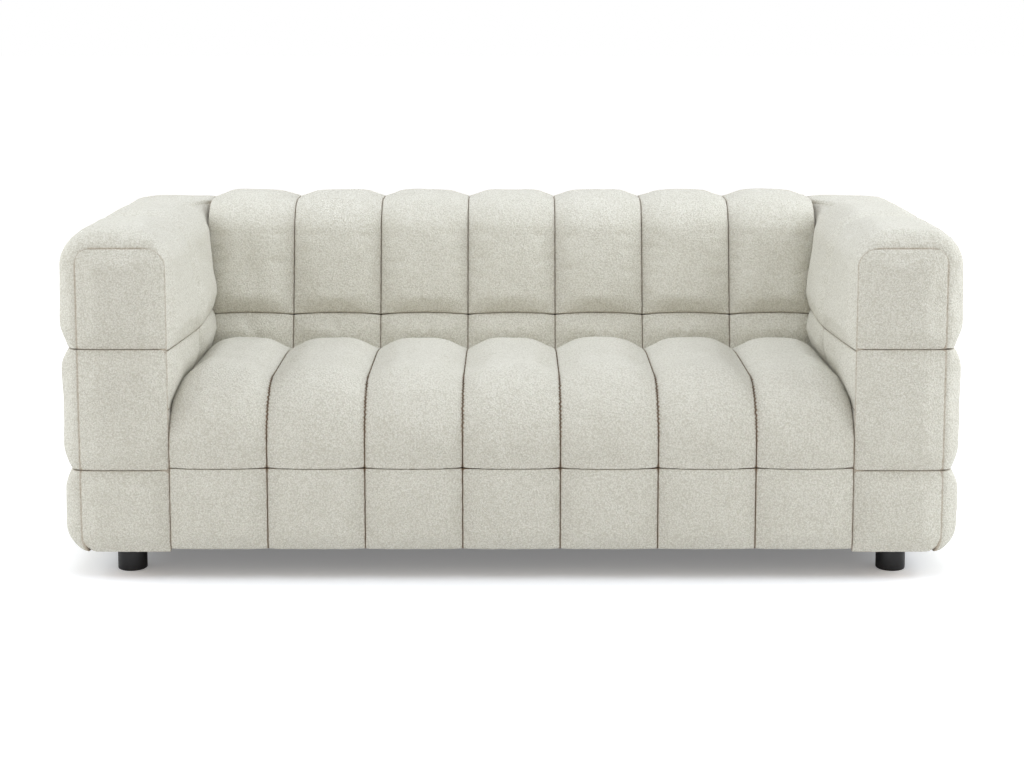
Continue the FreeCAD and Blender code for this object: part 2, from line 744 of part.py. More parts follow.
def corner_core(low, high):
    """Space of the frame inside a corner puff."""
    wide = Vector(number(core_outer), number(core_rear), high)
    start = Vector(number(arm_inner) - 1, number(column_two) - 1, low - 1)
    span = wide - start
    return Part.makeBox(span.x, span.y, span.z, start)


def corner_puff(name, levels, core_high, mirrored):
    """One corner puff, from sections each given by height, draw-in, pull and crown."""
    solid = closed_loft([corner_section(*level) for level in levels])
    solid = solid.cut(corner_core(levels[0][0], core_high)).Solids[0]
    if mirrored:
        solid = solid.mirror(Vector(0, 0, 0), Vector(1, 0, 0))
    feature = doc.addObject("Part::Feature", name)
    feature.Shape = solid
    feature.Placement = Placement()
    return feature


band_end = 0.35
cap_spare = 5
cap_degrees = (0, 12, 24, 36, 48, 60, 70, 78, 84)
draw_start = 40


def band_levels(low, high):
    """Sections of a corner puff between two seams."""
    crown = size("side_crown")
    reach = size("draw_in")
    found = []
    for height in ([low + reach * share for share in rising]
                   + [high - reach * share for share in reversed(rising)]):
        share = min(1.0, (height - low) / reach, (high - height) / reach)
        rise = band_end + (1 - band_end) * sqrt(share * (2 - share))
        found.append((height, 0, tuck(height), crown * rise))
    return found


def cap_levels(low, high):
    """Sections of a top corner puff, from its seam to its rounded top."""
    crown = size("side_crown")
    bend = size("arm_bend") + cap_spare
    levels = band_levels(low, high)[:len(rising)]
    for degree in cap_degrees:
        angle = radians(degree)
        past = max(0.0, degree - draw_start) / (cap_degrees[-1] - draw_start)
        levels.append((high - (1 - sin(angle)) * bend, size("corner_draw") * past ** 2,
                       (size("arm_bend") - cap_spare) * (1 - cos(angle)),
                       max(1.0, crown * cos(angle))))
    return levels


for side, mirrored in (("right", False), ("left", True)):
    top_name = f"arm_{side}_corner_puff_top"
    crown_level = number(arm_top) + size("arm_top_crown")
    keep(top_name, [corner_puff(
        top_name, cap_levels(seam_outer + half_gap, crown_level), top_base, mirrored)])

# Outer side bands of the arms: two puffs and a corner puff in each
band_rows = {
    "outer_middle_band": (seam_outer, size("low_seam_height")),
    "outer_bottom_band": (size("low_seam_height"), size("hem_height")),
}


def band_edges(spot):
    level = arm_pad - tuck(spot[1])
    return level, level


def band_dips(column):
    """How far the front puff of a band goes down to the edge of the arm's front panels."""

    def dips(spot):
        dip = size("panel_inset") * (1 - tuck(spot[1]) / arm_pad)
        return (dip if column == 0 else 0.0, 0.0)

    return dips


for side, mirrored in (("right", False), ("left", True)):
    for row_name, (high, low) in band_rows.items():
        low_gap = 0 if low == size("hem_height") else half_gap
        band_path = stations(
            (outer_base, high - half_gap), down_heading, [(high - half_gap - low - low_gap, 0)])
        puffs = [puff(
            f"arm_{side}_{row_name}_{column_name}", band_path, across_y,
            lambda spot, c=column: (column_starts[c], column_ends[c]),
            band_edges, lambda spot: size("side_crown"), shoulder=50, ends=(0.35, 0.4),
            dips=band_dips(column), mirrored=mirrored)
            for column, column_name in enumerate(column_names)]
        puffs.append(corner_puff(
            f"arm_{side}_{row_name}_corner", band_levels(low + low_gap, high - half_gap),
            high + 1, mirrored))
        keep(f"arm_{side}_{row_name}", puffs)

# Frame


def box(name, corner, sides):
    """A straight board from its lowest corner and its three sides, all formulas."""
    board = doc.addObject("Part::Box", name)
    for side, formula in zip(("Length", "Width", "Height"), sides):
        board.setExpression(side, str(formula))
    place(board, corner)
    return board


def arm_box(name, side, corner, sides):
    """A board of the right arm, or its mirror image in the left arm."""
    x, y, z = corner
    if side == "left":
        x = f"-({x}) - ({sides[0]})"
    return box(name, (x, y, z), sides)


def drilled(name, board, drills):
    """A board less the holes that its bolts go through."""
    cut = doc.addObject("Part::Cut", name)
    cut.Base = board
    cut.Tool = drills
    return cut


def rod(name, radius, length, corner, turn=None):
    """A round bar, along Z unless it is turned."""
    bar = doc.addObject("Part::Cylinder", name)
    bar.setExpression("Radius", str(radius))
    bar.setExpression("Height", str(length))
    if turn:
        bar.Placement = Placement(Vector(), turn)
    place(bar, corner)
    return bar


def revolved(name, outline):
    """A turned piece from its half section, whose corners are pairs of formulas."""
    body = doc.addObject("PartDesign::Body", name)
    sketch = outline_sketch(body, "XZ_Plane", outline)
    turned = body.newObject("PartDesign::Revolution", f"{name}_turned")
    turned.Profile = sketch
    turned.ReferenceAxis = (sketch, ["V_Axis"])
    turned.Angle = 360
    return body


def outline_sketch(body, role, outline):
    """A closed outline on one of the body's own planes, every corner tied to two formulas."""
    sketch = body.newObject("Sketcher::SketchObject", f"{body.Name}_outline")
    plane = next(f for f in body.Origin.OriginFeatures if f.Role == role)
    sketch.AttachmentSupport = [(plane, "")]
    sketch.MapMode = "FlatFace"
    corners = [Vector(number(u), number(v), 0) for u, v in outline]
    count = len(corners)
    for index in range(count):
        sketch.addGeometry(Part.LineSegment(corners[index], corners[(index + 1) % count]))
    for index in range(count):
        sketch.addConstraint(
            Sketcher.Constraint("Coincident", index, 2, (index + 1) % count, 1))
    for index, (u, v) in enumerate(outline):
        across = sketch.addConstraint(
            Sketcher.Constraint("DistanceX", -1, 1, index, 1, corners[index].x))
        sketch.setExpression(f"Constraints[{across}]", str(u))
        upward = sketch.addConstraint(
            Sketcher.Constraint("DistanceY", -1, 1, index, 1, corners[index].y))
        sketch.setExpression(f"Constraints[{upward}]", str(v))
    return sketch


def padded_out(name, role, outline, thickness):
    """A flat piece of a given outline and thickness."""
    body = doc.addObject("PartDesign::Body", name)
    sketch = outline_sketch(body, role, outline)
    pad = body.newObject("PartDesign::Pad", f"{name}_pad")
    pad.Profile = sketch
    pad.setExpression("Length", str(thickness))
    return body


# Feet, with a stud up through the dust cover and the arm's bottom board into a tee nut
foot_x = "(Sizes.sofa_width / 2 - Sizes.foot_inset_side)"
foot_front_y = f"({front} + Sizes.foot_inset_front)"
foot_rear_y = f"({rear} - Sizes.foot_inset_rear)"
stud_reach = "(Sizes.stud_depth + Sizes.cover_thickness + Sizes.board)"
foot_spots = {
    "foot_front_left": (f"-{foot_x}", foot_front_y),
    "foot_front_right": (foot_x, foot_front_y),
    "foot_rear_left": (f"-{foot_x}", foot_rear_y),
    "foot_rear_right": (foot_x, foot_rear_y),
}
stud_radius = "(Sizes.stud_diameter / 2)"
socket_radius = "(Sizes.stud_diameter / 2 + Sizes.stud_clearance)"
barrel_radius = f"({socket_radius} + Sizes.tee_wall)"
flange_top = "(Sizes.board / 2 + Sizes.tee_flange)"
studs = []
tee_nuts = []
stud_holes = []
for name, (x, y) in foot_spots.items():
    foot = revolved(name, [
        ("0", "0"),
        ("Sizes.foot_diameter / 2 - Sizes.foot_edge", "0"),
        ("Sizes.foot_diameter / 2", "Sizes.foot_edge"),
        ("Sizes.foot_diameter / 2", "Sizes.foot_height - Sizes.foot_edge"),
        ("Sizes.foot_diameter / 2 - Sizes.foot_edge", "Sizes.foot_height"),
        (socket_radius, "Sizes.foot_height"),
        (socket_radius, "Sizes.foot_height - Sizes.stud_depth"),
        ("0", "Sizes.foot_height - Sizes.stud_depth"),
    ])
    place(foot, (x, y, "0"))
    keep(name, [foot])
    studs.append(rod(f"{name}_stud", stud_radius, stud_reach,
                     (x, y, "Sizes.foot_height - Sizes.stud_depth")))
    tee_nut = revolved(f"{name}_tee_nut", [
        (socket_radius, "0"),
        (barrel_radius, "0"),
        (barrel_radius, "Sizes.board / 2"),
        ("Sizes.stud_diameter", "Sizes.board / 2"),
        ("Sizes.stud_diameter", flange_top),
        (socket_radius, flange_top),
    ])
    place(tee_nut, (x, y, f"{frame_bottom} + Sizes.board / 2"))
    tee_nuts.append(tee_nut)
    stud_holes.append(rod(f"{name}_hole", f"({barrel_radius} + Sizes.stud_clearance)",
                          "Sizes.cover_thickness + 2 * Sizes.board",
                          (x, y, "Sizes.foot_height - Sizes.board / 2")))
keep("foot_studs", studs)
keep("foot_tee_nuts", tee_nuts)

# Dust cover, with a hole for each stud
cover = box("dust_cover_sheet", (f"-{post_outer}", rail_front, "Sizes.foot_height"),
            (f"2 * {post_outer}", f"({back_core} - {rail_front})", "Sizes.cover_thickness"))
cover_holes = doc.addObject("Part::Compound", "cover_holes")
cover_holes.Links = stud_holes
keep("dust_cover", [drilled("dust_cover", cover, cover_holes)])

# Arm frames
turn_to_x = Rotation(Vector(0, 1, 0), 90)
bolt_spots = [
    (f"({front} + Sizes.bolt_front)", f"({rail_top} - Sizes.bolt_drop)"),
    (f"({front} + Sizes.bolt_rear)", f"({rail_top} - Sizes.bolt_drop)"),
    (f"({back_core} - Sizes.rail_width / 2)", "Sizes.back_bolt_low"),
    (f"({back_core} - Sizes.rail_width / 2)", "Sizes.back_bolt_high"),
]
hole_radius = "(Sizes.bolt_diameter / 2 + Sizes.bolt_clearance)"
drills = {}
for side, sign in (("right", 1), ("left", -1)):
    start = f"({post_inner} - 2 * Sizes.plank)"
    if sign < 0:
        start = f"(-{post_inner} - 2 * Sizes.plank)"
    holes = [rod(f"drill_{side}_{index}", hole_radius, "4 * Sizes.plank", (start, y, z), turn_to_x)
             for index, (y, z) in enumerate(bolt_spots)]
    drills[side] = doc.addObject("Part::Compound", f"drills_{side}")
    drills[side].Links = holes

core_span = f"({post_outer} - {post_inner})"
corner_room = "(Sizes.arm_bend - Sizes.arm_padding)"
board_top = f"({frame_bottom} + Sizes.board)"
top_board_low = f"({core_top} - Sizes.seam_gap - Sizes.plywood)"
post_height = f"({top_board_low} - {board_top})"
board_run = f"({post_rear} - {post_front})"
plank_front = f"({back_core} - Sizes.rail_width)"
for side in ("right", "left"):
    front_post = arm_box(f"arm_{side}_front_post", side, (post_inner, post_front, board_top),
                         (core_span, "Sizes.board", post_height))
    inner_plank = arm_box(f"arm_{side}_inner_plank", side, (post_inner, plank_front, board_top),
                          ("Sizes.plank", "Sizes.rail_width", post_height))
    outer_plank = arm_box(
        f"arm_{side}_outer_plank", side,
        (f"({post_outer} - Sizes.plank)", plank_front, board_top),
        ("Sizes.plank", "Sizes.rail_width", post_height))
    keep(f"arm_{side}_posts", [
        front_post, outer_plank,
        drilled(f"arm_{side}_inner_plank_drilled", inner_plank, drills[side])])
    bottom = arm_box(f"arm_{side}_bottom_blank", side, (post_inner, post_front, frame_bottom),
                     (core_span, board_run, "Sizes.board"))
    foot_drills = doc.addObject("Part::Compound", f"arm_{side}_foot_drills")
    foot_drills.Links = [hole for hole in stud_holes if side in hole.Name]
    top = arm_box(f"arm_{side}_top_board", side,
                  (f"({core_inner} + {corner_room})", post_front, top_board_low),
                  (f"({core_outer} - {core_inner} - 2 * {corner_room})", board_run,
                   "Sizes.plywood"))
    bolt_rail = arm_box(
        f"arm_{side}_bolt_rail", side,
        (post_inner, f"({post_front} + Sizes.board)", rail_bottom),
        ("Sizes.plank", f"({plank_front} - {post_front} - Sizes.board)", "Sizes.rail_width"))
    keep(f"arm_{side}_boards", [
        drilled(f"arm_{side}_bottom_board", bottom, foot_drills), top,
        drilled(f"arm_{side}_bolt_rail_drilled", bolt_rail, drills[side])])
    panel_height = f"({core_top} - {corner_room} - {frame_bottom})"
    inner_panel = arm_box(f"arm_{side}_inner_panel", side, (panel_face, post_front, frame_bottom),
                          ("Sizes.hardboard", board_run, panel_height))
    outer_panel = arm_box(f"arm_{side}_outer_panel", side, (post_outer, post_front, frame_bottom),
                          ("Sizes.hardboard", board_run, panel_height))
    keep(f"arm_{side}_side_panels", [
        drilled(f"arm_{side}_inner_panel_drilled", inner_panel, drills[side]), outer_panel])

# Seat frame between the arms
inner_span = f"(2 * {panel_face})"
rail_rear = f"({rib_front} - Sizes.plank)"
side_run = f"({rail_rear} - {rail_front} - Sizes.plank)"
side_start = f"({rail_front} + Sizes.plank)"
front_rail_low = "(Sizes.seat_hem_height + Sizes.rail_rise)"
keep("seat_front_rail", [box(
    "seat_front_rail", (f"-{panel_face}", rail_front, front_rail_low),
    (inner_span, "Sizes.plank", f"({rail_top} - {front_rail_low})"))])
keep("seat_rear_rail", [box(
    "seat_rear_rail", (f"-{panel_face}", rail_rear, rail_bottom),
    (inner_span, "Sizes.plank", "Sizes.rail_width"))])
keep("seat_side_rails", [drilled(f"seat_{side}_rail", arm_box(
    f"seat_{side}_rail_blank", side, (f"({panel_face} - Sizes.plank)", side_start, rail_bottom),
    ("Sizes.plank", side_run, "Sizes.rail_width")), drills[side]) for side in ("right", "left")])
cross_rails = []
for index in range(int(size("cross_rail_count"))):
    share = f"({index + 1} / (Sizes.cross_rail_count + 1))"
    cross_rails.append(box(
        f"seat_cross_rail_{index + 1}",
        (f"{panel_face} * (2 * {share} - 1) - Sizes.plank / 2", side_start, rail_bottom),
        ("Sizes.plank", side_run, "Sizes.rail_width * 0.6")))
keep("seat_cross_rails", cross_rails)

block_spots = {
    "front_left": (f"-({panel_face} - Sizes.plank)", side_start, 0),
    "front_right": (f"({panel_face} - Sizes.plank)", side_start, 90),
    "rear_right": (f"({panel_face} - Sizes.plank)", rail_rear, 180),
    "rear_left": (f"-({panel_face} - Sizes.plank)", rail_rear, 270),
}
blocks = []
for spot, (x, y, turn) in block_spots.items():
    block = padded_out(f"corner_block_{spot}", "XY_Plane",
                       [("0", "0"), ("Sizes.corner_block", "0"), ("0", "Sizes.corner_block")],
                       "Sizes.rail_width / 2")
    block.Placement = Placement(Vector(), Rotation(Vector(0, 0, 1), turn))
    place(block, (x, y, f"({rail_top} - Sizes.rail_width / 2 - Sizes.block_drop)"))
    blocks.append(block)
keep("seat_corner_blocks", blocks)

# Back frame: ribs cut to the back's lean, a top and a bottom board, and a rear panel
top_board_front = (
    f"({base_at_seam} + ({back_core_top} - Sizes.back_front_bend + Sizes.back_padding) * {lean_tan}"
    f" + (Sizes.back_front_bend - Sizes.back_padding) / {lean_cos})")
top_board_rear = f"({rear} - Sizes.back_rear_bend)"
board_low = f"({back_core_top} - Sizes.plywood)"
board_high = f"({frame_bottom} + Sizes.plywood)"
rib_rear = f"({back_core} - Sizes.rear_sheet)"
ribs = []
for index in range(int(size("rib_count"))):
    share = f"({index} / (Sizes.rib_count - 1))"
    rib = padded_out(f"back_rib_{index + 1}", "YZ_Plane", [
        (rib_front, board_high),
        (rib_rear, board_high),
        (rib_rear, board_low),
        (rib_face(board_low), board_low),
        (rib_face(seat_base), seat_base),
        (rib_front, seat_base),
    ], "Sizes.plywood")
    place(rib, (f"-{panel_face} + {share} * (2 * {panel_face} - Sizes.plywood)", "0", "0"))
    end_side = {0: "left", int(size("rib_count")) - 1: "right"}.get(index)
    ribs.append(drilled(f"back_rib_{end_side}_end", rib, drills[end_side]) if end_side else rib)
keep("back_ribs", ribs)
keep("back_boards", [
    box("back_top_board", (f"-{panel_face}", top_board_front, board_low),
        (inner_span, f"({top_board_rear} - {top_board_front})", "Sizes.plywood")),
    box("back_bottom_board", (f"-{panel_face}", rib_front, frame_bottom),
        (inner_span, f"({back_core} - {rib_front})", "Sizes.plywood")),
])
keep("back_rear_panel", [box(
    "back_rear_panel", (f"-{panel_face}", rib_rear, board_high),
    (inner_span, "Sizes.rear_sheet", f"({board_low} - {board_high})"))])

straps = []
strap_low = f"({seat_base} + Sizes.strap_foot)"
strap_high = f"({board_low} - Sizes.strap_width - Sizes.strap_head)"
strap_step = f"(({strap_high} - {strap_low}) / (Sizes.strap_count - 1))"
for index in range(int(size("strap_count"))):
    level = f"({strap_low} + {index} * {strap_step})"
    strap = box(f"back_strap_{index + 1}",
                (f"-{panel_face}",
                 f"{rib_face(level)} - Sizes.strap_thickness / {lean_cos}", level),
                (inner_span, "Sizes.strap_thickness", "Sizes.strap_width"))
    strap.setExpression("Placement.Rotation.Axis.x", "1")
    strap.setExpression("Placement.Rotation.Axis.y", "0")
    strap.setExpression("Placement.Rotation.Axis.z", "0")
    strap.setExpression("Placement.Rotation.Angle", "-Sizes.back_lean * 1 deg")
    straps.append(strap)
keep("back_webbing", straps)

# Seat springs, each one wire that zigzags from the front rail to the rear rail
wire_radius = size("spring_wire") / 2
wire_level = number(rail_top) + size("clip_wall") + size("wire_slack") + wire_radius
spring_start = number(rail_front) + size("plank") / 2
spring_end = number(rail_rear) + size("plank") / 2
rung_count = 1 + 2 * round((spring_end - spring_start) / (2 * size("spring_pitch")))
rung_pitch = (spring_end - spring_start) / (rung_count - 1)
spring_spread = 2 * number(panel_face) / size("spring_count")
half_rung = size("spring_rung") / 2


def spring_wire_path(x):
    """Rungs across, joined by half turns on alternate sides."""
    edges = []
    for rung in range(rung_count):
        y = spring_start + rung * rung_pitch
        way = 1 if rung % 2 == 0 else -1
        edges.append(Part.LineSegment(Vector(x - way * half_rung, y, wire_level),
                                      Vector(x + way * half_rung, y, wire_level)).toShape())
        if rung < rung_count - 1:
            edges.append(Part.Arc(
                Vector(x + way * half_rung, y, wire_level),
                Vector(x + way * (half_rung + rung_pitch / 2), y + rung_pitch / 2, wire_level),
                Vector(x + way * half_rung, y + rung_pitch, wire_level)).toShape())
    return Part.Wire(edges)


springs = []
clips = []
for index in range(int(size("spring_count"))):
    x = -number(panel_face) + (index + 0.5) * spring_spread
    path = spring_wire_path(x)
    ring = Part.Circle(Vector(x - half_rung, spring_start, wire_level), Vector(1, 0, 0), wire_radius)
    spring = doc.addObject("Part::Feature", f"seat_spring_{index + 1}")
    spring.Shape = path.makePipeShell([Part.Wire(ring.toShape())], True, False)
    spring.Placement = Placement()
    springs.append(spring)
    for end, y in (("front", spring_start), ("rear", spring_end)):
        place_x = f"-{panel_face} + {index + 0.5} * 2 * {panel_face} / Sizes.spring_count"
        middle_y = f"({rail_front if end == 'front' else rail_rear} + Sizes.plank / 2)"
        clip_depth = f"({wire_room} + Sizes.clip_wall)"
        clip_high = f"({wire_room} + 2 * Sizes.clip_wall)"
        outer = box(f"clip_{end}_{index + 1}_blank",
                    (f"{place_x} - Sizes.spring_rung * 0.3",
                     f"{middle_y} - {clip_depth} + {wire_room} / 2", rail_top),
                    ("Sizes.spring_rung * 0.6", clip_depth, clip_high))
        slot_y = f"{middle_y} - {wire_room} / 2"
        slot = box(f"clip_{end}_{index + 1}_slot",
                   (f"{place_x} - Sizes.spring_rung * 0.5", slot_y,
                    f"({rail_top} + Sizes.clip_wall)"),
                   ("Sizes.spring_rung", "2 * Sizes.spring_wire", wire_room))
        clips.append(drilled(f"clip_{end}_{index + 1}", outer, slot))
keep("seat_springs", springs)
keep("seat_spring_clips", clips)

# Felt over the springs and the foam slab that the seat channels lie on
sheet_side = f"({panel_face} - Sizes.sheet_slack)"
felt_front = f"({rail_front} + Sizes.felt_edge)"
keep("seat_felt", [box(
    "seat_felt", (f"-{sheet_side}", felt_front, felt_low),
    (f"2 * {sheet_side}", f"({rail_rear} + Sizes.plank - {felt_front})", "Sizes.felt"))])
foam = padded_out("seat_foam_slab", "YZ_Plane", [
    (rail_front, foam_low),
    (rib_front, foam_low),
    (rib_front, foam_top),
    (rail_front, foam_top),
], f"(2 * {sheet_side})")
place(foam, (f"-{sheet_side}", "0", "0"))
doc.recompute()
slab = foam.Tip
front_edge = min(
    range(len(slab.Shape.Edges)),
    key=lambda n: slab.Shape.Edges[n].CenterOfMass.y - slab.Shape.Edges[n].CenterOfMass.z)
rounding = foam.newObject("PartDesign::Fillet", "seat_foam_slab_front")
rounding.Base = (slab, [f"Edge{front_edge + 1}"])
rounding.setExpression("Radius", "Sizes.seat_front_bend - Sizes.seat_padding")
keep("seat_foam_slab", [foam])

# Bolts through the seat rails, ribs, arm panels and bolt rails, with washers and nuts
washer = "Sizes.washer_thickness"
bolt_far = f"({post_inner} + Sizes.plank)"


def bolt_start(side, start, length):
    """X of a piece that starts at a distance from the middle, on its side of the sofa."""
    return start if side == "right" else f"(-({start}) - ({length}))"


def hexagon(name, side, start, height, spot):
    """A hexagonal head or nut across a bolt."""
    prism = doc.addObject("Part::Prism", name)
    prism.Polygon = 6
    prism.setExpression("Circumradius", "Sizes.head_width / sqrt(3)")
    prism.setExpression("Height", height)
    prism.Placement = Placement(Vector(), turn_to_x)
    place(prism, (bolt_start(side, start, height), *spot))
    return prism


def bolt_rod(name, side, radius, start, length, spot):
    """A round bar along a bolt."""
    return rod(name, radius, length, (bolt_start(side, start, length), *spot), turn_to_x)


def frame_bolt(side, index, spot):
    """One bolt, and its nut and two washers."""
    board = "Sizes.plank" if index < 2 else "Sizes.plywood"
    near = f"({panel_face} - {board} - {washer})"
    far = f"({bolt_far} + {washer})"
    label = f"{side}_{index + 1}"
    shank = bolt_rod(f"bolt_{label}_shank", side, "Sizes.bolt_diameter / 2", near,
                     f"({far} + Sizes.nut_height + Sizes.thread_end - {near})", spot)
    head = hexagon(f"bolt_{label}_head", side, f"({near} - Sizes.head_height)",
                   "Sizes.head_height", spot)
    bolt = doc.addObject("Part::Fuse", f"bolt_{label}")
    bolt.Base = head
    bolt.Tool = shank
    nut = hexagon(f"nut_{label}_blank", side, far, "Sizes.nut_height", spot)
    thread = bolt_rod(f"nut_{label}_thread", side, "(Sizes.bolt_diameter / 2 + Sizes.stud_clearance)",
                      f"({far} - Sizes.thread_end)", "(Sizes.nut_height + 2 * Sizes.thread_end)",
                      spot)
    found = [drilled(f"nut_{label}", nut, thread)]
    for end, start in (("head", near), ("nut", bolt_far)):
        disc = bolt_rod(f"washer_{label}_{end}_disc", side, "Sizes.washer_diameter / 2", start,
                        washer, spot)
        found.append(drilled(f"washer_{label}_{end}", disc, drills[side]))
    return bolt, found


bolts = []
fittings = []
for side in ("right", "left"):
    for index, spot in enumerate(bolt_spots):
        bolt, found = frame_bolt(side, index, spot)
        bolts.append(bolt)
        fittings += found
keep("frame_bolts", bolts)
keep("frame_bolt_fittings", fittings)

doc.recompute()

# Nothing is written unless every object and every sub-part is sound
for item in doc.Objects:
    if "Invalid" in item.State or "Error" in item.State:
        raise RuntimeError(f"{item.Label} failed: {item.State}")
for name, part in pieces.items():
    shape = part.Shape
    if shape.isNull() or not shape.isValid() or not shape.Solids or shape.Volume <= 0:
        raise RuntimeError(f"{name} has no sound shape")

os.makedirs("parts", exist_ok=True)
for name, part in pieces.items():
    part.Shape.exportStep(f"parts/{name}.step")
    print(name, len(part.Shape.Solids), round(part.Shape.Volume / 1000), "cm3")

whole = Part.makeCompound([part.Shape for part in pieces.values()]).BoundBox
print(len(pieces), "sub-parts")
print("X", round(whole.XMin, 2), round(whole.XMax, 2), "Y", round(whole.YMin, 2),
      round(whole.YMax, 2), "Z", round(whole.ZMin, 2), round(whole.ZMax, 2))
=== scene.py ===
# %% [markdown]
# This file dresses a three-seat tuxedo sofa: arms as high as the back, quilted all over in boucle,
# on short round feet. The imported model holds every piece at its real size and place, so the lesson
# starts by loading it. Its soft solids are then replaced by stuffed puffs, piece by piece.

# %% Load the frame
import json
from math import cos, pi, radians, sin, tan

import bpy
import numpy as np
from mathutils import Matrix, Vector

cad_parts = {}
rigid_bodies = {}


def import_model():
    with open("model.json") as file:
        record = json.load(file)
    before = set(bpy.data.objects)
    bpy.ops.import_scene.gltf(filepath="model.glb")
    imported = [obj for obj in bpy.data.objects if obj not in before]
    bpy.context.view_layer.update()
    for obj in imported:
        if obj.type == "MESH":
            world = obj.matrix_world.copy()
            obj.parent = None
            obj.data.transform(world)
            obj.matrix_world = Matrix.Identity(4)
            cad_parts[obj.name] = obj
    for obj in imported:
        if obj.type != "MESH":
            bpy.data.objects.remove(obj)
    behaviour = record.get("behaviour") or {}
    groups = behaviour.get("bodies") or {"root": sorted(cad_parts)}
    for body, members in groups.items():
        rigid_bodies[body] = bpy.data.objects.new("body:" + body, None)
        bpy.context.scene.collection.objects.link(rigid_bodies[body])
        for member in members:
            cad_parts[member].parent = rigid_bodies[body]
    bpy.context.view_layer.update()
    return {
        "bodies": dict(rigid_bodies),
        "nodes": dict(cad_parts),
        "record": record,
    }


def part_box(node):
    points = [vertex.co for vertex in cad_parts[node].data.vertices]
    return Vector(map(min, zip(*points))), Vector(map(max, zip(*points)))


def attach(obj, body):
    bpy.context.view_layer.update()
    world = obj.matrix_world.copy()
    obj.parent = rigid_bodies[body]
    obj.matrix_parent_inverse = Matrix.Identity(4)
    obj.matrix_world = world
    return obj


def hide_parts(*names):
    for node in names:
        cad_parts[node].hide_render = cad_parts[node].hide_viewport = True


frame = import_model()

nodes = frame["nodes"]

# %% [markdown]
# A quilted cover is a grid of seams. The seams lie in planes that many puffs share, and those planes
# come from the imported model's own boxes, less the height by which each puff stands over its seams.
# Two drawings of the sofa then hold every path: a side view for the seat and back, and a front view
# for the arms.

# %% Seam planes
mm = 0.001
seat_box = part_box("seat_channel_4")
back_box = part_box("back_channel_4")
border_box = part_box("seat_border")
top_puff_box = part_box("arm_right_top_puff_front")
panel_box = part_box("arm_right_front_panels")

channel_count = 7
side_crown = 17 * mm
front_crown = 15 * mm
rear_crown = 20 * mm
seat_crown = 27 * mm
back_front_crown = 25 * mm
back_top_crown = 10 * mm
arm_top_crown = 17 * mm
inner_crown = 6 * mm

front_seam = seat_box[0].y + front_crown
rear_seam = back_box[1].y - rear_crown
back_top = back_box[1].z - back_top_crown
seat_level = seat_box[1].z - seat_crown
seat_back = seat_box[1].y
arm_side = top_puff_box[1].x - side_crown
arm_top = top_puff_box[1].z - arm_top_crown
arm_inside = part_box("seat_channel_7")[1].x
seat_seam_level = seat_box[0].z
seat_hem_level = border_box[0].z
hem_level = panel_box[0].z
low_seam_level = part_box("back_outer_bottom_row")[1].z
inner_seam_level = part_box("back_outer_middle_row")[1].z
outer_seam_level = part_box("arm_right_outer_middle_band")[1].z
lumbar_seam_level = 486 * mm
column_one = top_puff_box[1].y
column_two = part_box("arm_right_top_puff_middle")[1].y
print("seams: front", round(front_seam, 4), "rear", round(rear_seam, 4), "back top", round(back_top, 4),
      "arm side", round(arm_side, 4), "inside", round(arm_inside, 4))

# %% [markdown]
# Every puff is a strip of cloth over wadding. It follows a path: straight runs and round bends, as
# seen from the side. A turtle that walks the path gives a point and a heading at any distance, so one
# description serves for the seat, the back and the arms.

# %% Paths


def trace(start, heading, runs):
    """A path of straight runs and right-hand bends: its length, and a function of the distance."""
    legs = []
    u, v = start
    passed = 0.0
    for length, turn in runs:
        legs.append((passed, length, turn, u, v, heading))
        chord = length if not turn else length * sin(turn / 2) / (turn / 2)
        u += chord * cos(heading - turn / 2)
        v += chord * sin(heading - turn / 2)
        heading -= turn
        passed += length

    def at(distance):
        leg = next((leg for leg in reversed(legs) if distance >= leg[0]), legs[0])
        begun, length, turn, u, v, heading = leg
        part = distance - begun
        bend = turn * part / length
        chord = part if abs(bend) < 1e-9 else part * sin(bend / 2) / (bend / 2)
        return u + chord * cos(heading - bend / 2), v + chord * sin(heading - bend / 2), heading - bend

    return passed, at


edge_steps = np.array([0, 1.2, 4, 8.5, 15]) * mm


def spread(length, spacing):
    """Distances along a length: close together near both ends, where the cloth rolls into a seam."""
    near = edge_steps[edge_steps < length / 3]
    count = max(2, round((length - 2 * near[-1]) / spacing) + 1)
    middle = np.linspace(near[-1], length - near[-1], count)
    return np.unique(np.round(np.concatenate([near, middle, length - near]), 6))


def rise(distance, reach, sharpness=0.5):
    """Share of its full height that a puff has at a distance from a seam: a quarter of an ellipse, or
    something softer with a higher sharpness number."""
    share = np.clip(distance / reach, 0, 1)
    return (share * (2 - share)) ** sharpness


def waves(seed, count, shortest, longest):
    """A smooth random line, from a few sine waves whose lengths lie between two limits."""
    draw = np.random.default_rng(seed)
    lengths = draw.uniform(shortest, longest, count)
    phases = draw.uniform(0, 2 * pi, count)

    def at(distance):
        parts = [np.sin(2 * pi * distance / length + phase) for length, phase in zip(lengths, phases)]
        return sum(parts) / np.sqrt(count)

    return at


# %% [markdown]
# A puff is made as rings across its path. Each ring runs over the cloth from one side seam to the
# other, down into the seam, and back under the wadding. The height over the path is a shoulder at
# each seam, a gentle crown between them, and a shoulder again at the two cross seams. The rings are
# skinned into one closed mesh, and each point remembers how far it lies from its seams.

# %% One puff
wall_shares = (0.92, 0.72, 0.4)
base_share = 0.3
seam_gap = 0.15 * mm
arch_reach = 60 * mm
full_flat = 0.84
softness = 0.68
widest_shoulder = 2.2
fullness_range = (0.95, 1.03)
most_tilt = 0.05
wander_seed = 5000
wander_lengths = (0.18, 0.5)
puff_seeds = iter(range(1000))


